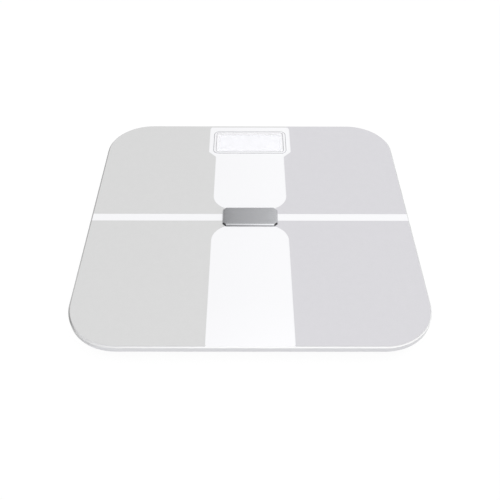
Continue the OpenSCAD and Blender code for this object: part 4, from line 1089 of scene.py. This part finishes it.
@dataclass
class Leads:
    """Every wire: three from each load cell, one from each electrode contact and two from the battery bay.

    The routes are the frame's own, written for the right side in millimetres. Wires of a set lie one pitch
    apart.
    """

    wire_d: float = 1.1
    pitch: float = 1.3           # from the middle of one wire to the next
    sides: int = 14              # points round a wire
    bend: float = 2.2            # from a corner of the route to the start of its curve
    bend_points: int = 9         # points in that curve
    bare: float = 0.9            # stripped end
    bare_step: float = 0.02      # length over which the insulation ends
    core: float = 0.55           # thickness of the stripped end as a share of the wire's
    solder_r: float = 0.95       # radius of the solder's foot
    solder_h: float = 0.8        # height of its dome, were it whole
    solder_tip: float = 0.985    # share of that height at which it is cut flat
    solder_swell: float = 0.6    # power, below 1 so that its flank swells
    solder_sunk: float = 0.03    # of its foot below the wire's underside
    solder_rings: int = 12
    solder_sides: int = 20
    gauge_x: float = 89.5        # where the load cells' wires start
    exit_x: float = 76.1         # outside the foot's pocket
    exit_run: float = 5.0        # run of the toe wires' climb from there to the ribs
    lane_x: float = 70.6         # middle wire of the lane along the side
    ramp_x: Span = (52.0, 47.5)  # foot and top of the climb to the board, from the side
    ramp_y: Span = (87.55, 93.55)   # the same, from the front
    pad_x: float = 43.0          # solder pads at the board's ends
    pad_y: float = 98.55         # and along its front
    cell_y: float = 102.0        # middle of each load cell
    cell_off: float = 3.3        # of the middle wire from the cell's middle
    turn_y: float = 99.21        # where the heel wires turn in to the board
    z_gauge: float = 12.2        # height of the wires beside the gauges
    z_run: float = 15.65         # on the ribs
    z_pad: float = 17.2          # on the board
    contact: tuple[float, float, float] = (20.0, 8.0, 17.8)   # where the contacts' wires start
    contact_lanes: Span = (30.8, 32.4)   # of the toe and heel contacts
    bay: tuple[float, float, float] = (15.0, 63.2, 16.1)   # where the battery's wires start
    bay_run: float = 6.0         # run of their drop to the ribs

    def build(self) -> None:
        """Makes each set as pieces of one colour, with solder at the ends on the board."""
        sets = {"sensor": self.sensors(), "electrode": self.electrodes(), "battery": self.battery()}
        ends = []
        for name, routes in sets.items():
            for finish in dict.fromkeys(finish for finish, _ in routes):
                shapes = [self.wire(route) for kind, route in routes if kind is finish]
                slot = "wire_white" if finish is WIRE_WHITE else "wire_red"
                Shape.joined(shapes).piece(f"{name}_leads_{finish.name.split('_')[0]}", finish, Body.SCALE,
                                           [f"{name}_leads"], slot, crease=60)
            ends += [route[-1] for _, route in routes]
        Shape.joined([self.joint(end) for end in ends]).piece(
            "solder_joints", SOLDER, Body.SCALE, slot="nickel")

    def sensors(self) -> list[tuple[Finish, np.ndarray]]:
        """Lays the twelve wires from the load cells.

        Returns:
            Finish and route of each.
        """
        foot, top = self.ramp_x
        toe_y, heel_y = self.cell_off + self.cell_y, self.cell_off - self.cell_y
        toe = np.array([[self.gauge_x, toe_y, self.z_gauge], [self.exit_x, toe_y, self.z_gauge],
                        [self.exit_x - self.exit_run, toe_y, self.z_run], [foot, toe_y, self.z_run],
                        [top, toe_y, self.z_pad], [self.pad_x, toe_y, self.z_pad]])
        heel = np.array([[self.gauge_x, heel_y, self.z_gauge], [self.exit_x, heel_y, self.z_gauge],
                         [self.lane_x, heel_y, self.z_run], [self.lane_x, self.turn_y, self.z_run],
                         [foot, self.turn_y, self.z_run], [top, self.turn_y, self.z_pad],
                         [self.pad_x, self.turn_y, self.z_pad]])
        in_lane = np.array([0, 0, 1, 1, 0, 0, 0])[:, None] * [1, 0, 0]
        routes = []
        for side in (-1, 1):
            for row, finish in zip((-1, 0, 1), (WIRE_RED, WIRE_WHITE, WIRE_BLACK)):
                shift = row * self.pitch
                routes.append((finish, (toe + [0, shift, 0]) * [side, 1, 1]))
                routes.append((finish, (heel + [0, shift, 0] + shift * in_lane) * [side, 1, 1]))
        return routes

    def electrodes(self) -> list[tuple[Finish, np.ndarray]]:
        """Lays the four wires from the electrode contacts.

        Returns:
            Finish and route of each.
        """
        x, y, z = self.contact
        routes = [np.array([[x, end * y, z], [lane, end * y, self.z_run], *self.climb(lane)])
                  for end, lane in zip((1, -1), self.contact_lanes)]
        return [(WIRE_WHITE, route * [side, 1, 1]) for side in (-1, 1) for route in routes]

    def battery(self) -> list[tuple[Finish, np.ndarray]]:
        """Lays the two wires from the battery bay.

        Returns:
            Finish and route of each.
        """
        x, y, z = self.bay
        route = np.array([[x, y, z], [x, y + self.bay_run, self.z_run], *self.climb(x)])
        return [(WIRE_BLACK, route * [-1, 1, 1]), (WIRE_RED, route)]

    def climb(self, x: float) -> list[list[float]]:
        """Points from the ribs up to a pad on the board's front."""
        foot, top = self.ramp_y
        return [[x, foot, self.z_run], [x, top, self.z_pad], [x, self.pad_y, self.z_pad]]

    def wire(self, route: np.ndarray) -> Shape:
        """Makes a wire with its insulation and a thinner stripped end.

        The radius is half the wire's thickness up to the stripped length, and core times that beyond it.

        Args:
            route: the corners of its route.

        Returns:
            The closed surface.
        """
        path = eased(route, self.bend, self.bend_points, closed=False)
        tip = path[-1]
        back = (path[-2] - tip) / np.linalg.norm(path[-2] - tip)
        cut = self.bare + self.bare_step
        path = np.vstack([path[:-1], tip + back * cut, tip + back * self.bare, tip])
        radius = np.full(len(path), self.wire_d / 2)
        radius[-2:] *= self.core
        rings = tube(path, 1.0, self.sides, np.tile([0.0, 0.0, 1.0], (len(path), 1)))
        return Shape.lofted((path[:, None] + (rings - path[:, None]) * radius[:, None, None]) * MM)

    def joint(self, end: np.ndarray) -> Shape:
        """Makes the solder round the end of a wire: a dome on the board with a small flat top.

        At share f of its height the radius is solder_r (1 - f)^solder_swell, at a height of solder_h f.

        Args:
            end: the wire's end.

        Returns:
            The closed surface.
        """
        f = np.linspace(0, self.solder_tip, self.solder_rings)
        profile = np.stack([self.solder_h * f, self.solder_r * (1 - f) ** self.solder_swell], -1) * MM
        foot = np.array([end[0], end[1], end[2] - self.wire_d / 2 - self.solder_sunk]) * MM
        return Shape.lofted(turned(profile, self.solder_sides, foot, (0, 0, 1)))


@dataclass
class Foot:
    """One foot: cup and pad, with the load cell and the retainer above it."""

    corner: Corner

    def build(self) -> None:
        """Dresses the foot, its load cell and its retainer."""
        name = self.corner.value
        dress({f"foot_cup_{name}": FOOT, f"foot_pad_{name}": PAD, f"load_cell_{name}": ROLLED_STEEL,
               f"cell_retainer_{name}": SHELL})


@dataclass
class Sensing:
    """What the four load cells share: gauges and retainer screws."""

    def build(self) -> None:
        """Dresses them."""
        dress({"strain_gauges": SILICONE, "retainer_screws": ZINC_SCREW})


# -------------------------------------------------------------------------------------------- studio


@dataclass
class Studio:
    """Camera, floor, world and lamp. Edges in the world are parts of a unit direction."""

    sensor_mm: float = 36.0
    lens_mm: float = 45.89064     # focal length for that sensor
    clip: Span = (0.01, 50.0)     # nearest and farthest things that the camera sees, in metres
    elevation: float = 45.449     # in degrees, as the next two
    azimuth: float = -0.287
    roll: float = 0.269
    distance: float = 0.57347     # from the camera to the target, in metres
    target: tuple[float, float, float] = (-0.000117, -0.042236, 0.0239)
    floor_half: float = 6.0       # half of its side, in metres
    floor_z: float = -0.02 * MM   # just under the feet
    floor_grey: float = 0.72      # of the floor that lights the scale from below
    floor_shadow: float = 0.06    # grey of what the camera sees, on which the shadow falls
    floor_glow: float = 0.952     # light added to that
    floor_gloss: float = 0.8      # light that gloss sees in it
    room: float = 0.466           # mean strength of the room
    room_slope: tuple[float, float, float] = (0.12, -0.1, 0.0)   # growth of that towards +X, +Y and +Z
    card: float = 0.7             # strength of the card that gloss sees behind the object
    card_run: Span = (-0.09, 0.09)   # X over which it grows brighter
    card_gain: Span = (0.66, 1.32)   # share of its strength to the left and the right of that
    ceiling: float = 0.8          # strength added overhead
    ceiling_edge: Span = (0.75, 0.85)   # Z over which the ceiling starts
    wall_side: Span = (0.4, 0.6)  # X, to either side, over which the dark walls start
    wall_front: Span = (0.25, 0.5)   # Y over which they end towards the back
    wall_dark: float = 0.85       # share by which they are darker
    key: float = 0.558            # share of a level surface's light that the lamp gives
    key_from: tuple[float, float, float] = (0.04, -0.25, 0.967)   # direction of the lamp
    key_angle: float = 55.0       # width of the lamp in the sky, in degrees

    def build(self) -> None:
        """Makes the studio."""
        self.camera()
        self.floor()
        self.world()
        self.lamp()
        bpy.context.scene.view_settings.view_transform = "Standard"

    def camera(self) -> None:
        """Sets the camera at its distance from the target, in the direction of its azimuth and elevation."""
        a, e, r = (math.radians(v) for v in (self.azimuth, self.elevation, self.roll))
        back = Vector((math.sin(a) * math.cos(e), -math.cos(a) * math.cos(e), math.sin(e)))
        right = (-back).cross(Vector((0, 0, 1))).normalized()
        up = right.cross(-back)
        across, upright = right * math.cos(r) + up * math.sin(r), up * math.cos(r) - right * math.sin(r)
        turn = Matrix((across, upright, back)).transposed()
        data = bpy.data.cameras.new("camera")
        data.sensor_width, data.lens = self.sensor_mm, self.lens_mm
        data.clip_start, data.clip_end = self.clip
        view = bpy.data.objects.new("camera", data)
        view.matrix_world = Matrix.Translation(Vector(self.target) + back * self.distance) @ turn.to_4x4()
        bpy.context.scene.collection.objects.link(view)
        bpy.context.scene.camera = view

    def floor(self) -> None:
        """Lays a square floor. The camera sees it near white, with the shadow kept.

        From below it is clear, for a ray that meets its back or has come through it, so that the underside
        shows.
        """
        made = bpy.data.materials.new("matt_white_floor")
        made.use_nodes = True
        tree = made.node_tree
        tree.nodes.clear()
        ray = add_node(tree, "ShaderNodeLightPath").outputs
        matt, shaded = (add_node(tree, "ShaderNodeBsdfDiffuse", Color=(grey, grey, grey, 1)).outputs[0]
                        for grey in (self.floor_grey, self.floor_shadow))
        glow, mirrored = (add_node(tree, "ShaderNodeEmission", Strength=strength).outputs[0]
                          for strength in (self.floor_glow, self.floor_gloss))
        shown = add_node(tree, "ShaderNodeAddShader", i0=shaded, i1=glow).outputs[0]
        clear = add_node(tree, "ShaderNodeBsdfTransparent").outputs[0]
        back = Field(add_node(tree, "ShaderNodeNewGeometry").outputs["Backfacing"])
        below = back.worked("MAXIMUM", back, Field(ray["Transparent Depth"]))
        seen = matt
        for share, other in ((ray["Is Glossy Ray"], mirrored), (ray["Is Camera Ray"], shown), (below, clear)):
            seen = add_node(tree, "ShaderNodeMixShader", Fac=share, i1=seen, i2=other).outputs[0]
        add_node(tree, "ShaderNodeOutputMaterial", Surface=seen)
        x, y = self.floor_half * np.array([[-1, 1, 1, -1], [-1, -1, 1, 1]])
        mesh = bpy.data.meshes.new("floor")
        mesh.from_pydata(np.column_stack([x, y, 0 * x + self.floor_z]).tolist(), [], [[0, 1, 2, 3]])
        mesh.materials.append(made)
        floor = bpy.data.objects.new("floor", mesh)
        bpy.context.scene.collection.objects.link(floor)

    def world(self) -> None:
        """Lights the room, a little brighter at the front and right. The camera sees it white.

        What gloss sees is a card behind the object that grows brighter towards the right, a bright ceiling,
        and dark walls at the front and sides.
        """
        room = bpy.data.worlds.new("studio")
        bpy.context.scene.world = room
        room.use_nodes = True
        tree = room.node_tree
        tree.nodes.clear()
        ray = add_node(tree, "ShaderNodeLightPath").outputs
        way = add_node(tree, "ShaderNodeTexCoord").outputs["Generated"]
        x, y, z = map(Field, add_node(tree, "ShaderNodeSeparateXYZ", Vector=way).outputs)
        slope = add_node(tree, "ShaderNodeVectorMath", {"operation": "DOT_PRODUCT"}, i0=way,
                         i1=self.room_slope)
        least, most = self.card_gain
        gain = x.step(*self.card_run) * (most - least) + least
        walls = abs(x).step(*self.wall_side) * (1 - y.step(*self.wall_front))
        gloss = (z.step(*self.ceiling_edge) * self.ceiling + self.card) * gain * (1 - walls * self.wall_dark)
        even, mirrored, white = (
            add_node(tree, "ShaderNodeBackground", Color=(1, 1, 1, 1), Strength=strength).outputs[0]
            for strength in (Field(slope.outputs["Value"]) + self.room, gloss, 1.0))
        seen = even
        for share, other in ((ray["Is Glossy Ray"], mirrored), (ray["Is Camera Ray"], white)):
            seen = add_node(tree, "ShaderNodeMixShader", Fac=share, i1=seen, i2=other).outputs[0]
        add_node(tree, "ShaderNodeOutputWorld", Surface=seen)

    def lamp(self) -> None:
        """Adds one wide, even lamp from above. Its strength is pi times the light that white sends back."""
        data = bpy.data.lights.new("key", "SUN")
        data.angle = math.radians(self.key_angle)
        data.energy = math.pi * self.key
        lamp = bpy.data.objects.new("key", data)
        # Gloss sees the room's ceiling in its place
        lamp.visible_glossy = False
        lamp.rotation_euler = Vector(self.key_from).to_track_quat("Z", "Y").to_euler()
        bpy.context.scene.collection.objects.link(lamp)


# -------------------------------------------------------------------------------------------- the whole


def main() -> None:
    """Builds the sub-assemblies in order, then the studio."""
    logging.basicConfig(level=logging.INFO, format="%(name)s: %(message)s")
    feet = map(Foot, Corner)
    for part in (Platform(), Badge(), Display(), Controller(), Base(), Power(), Leads(), *feet, Sensing()):
        part.build()
        LOG.info("built %s", type(part).__name__)
    Studio().build()


if __name__ == "__main__":
    main()
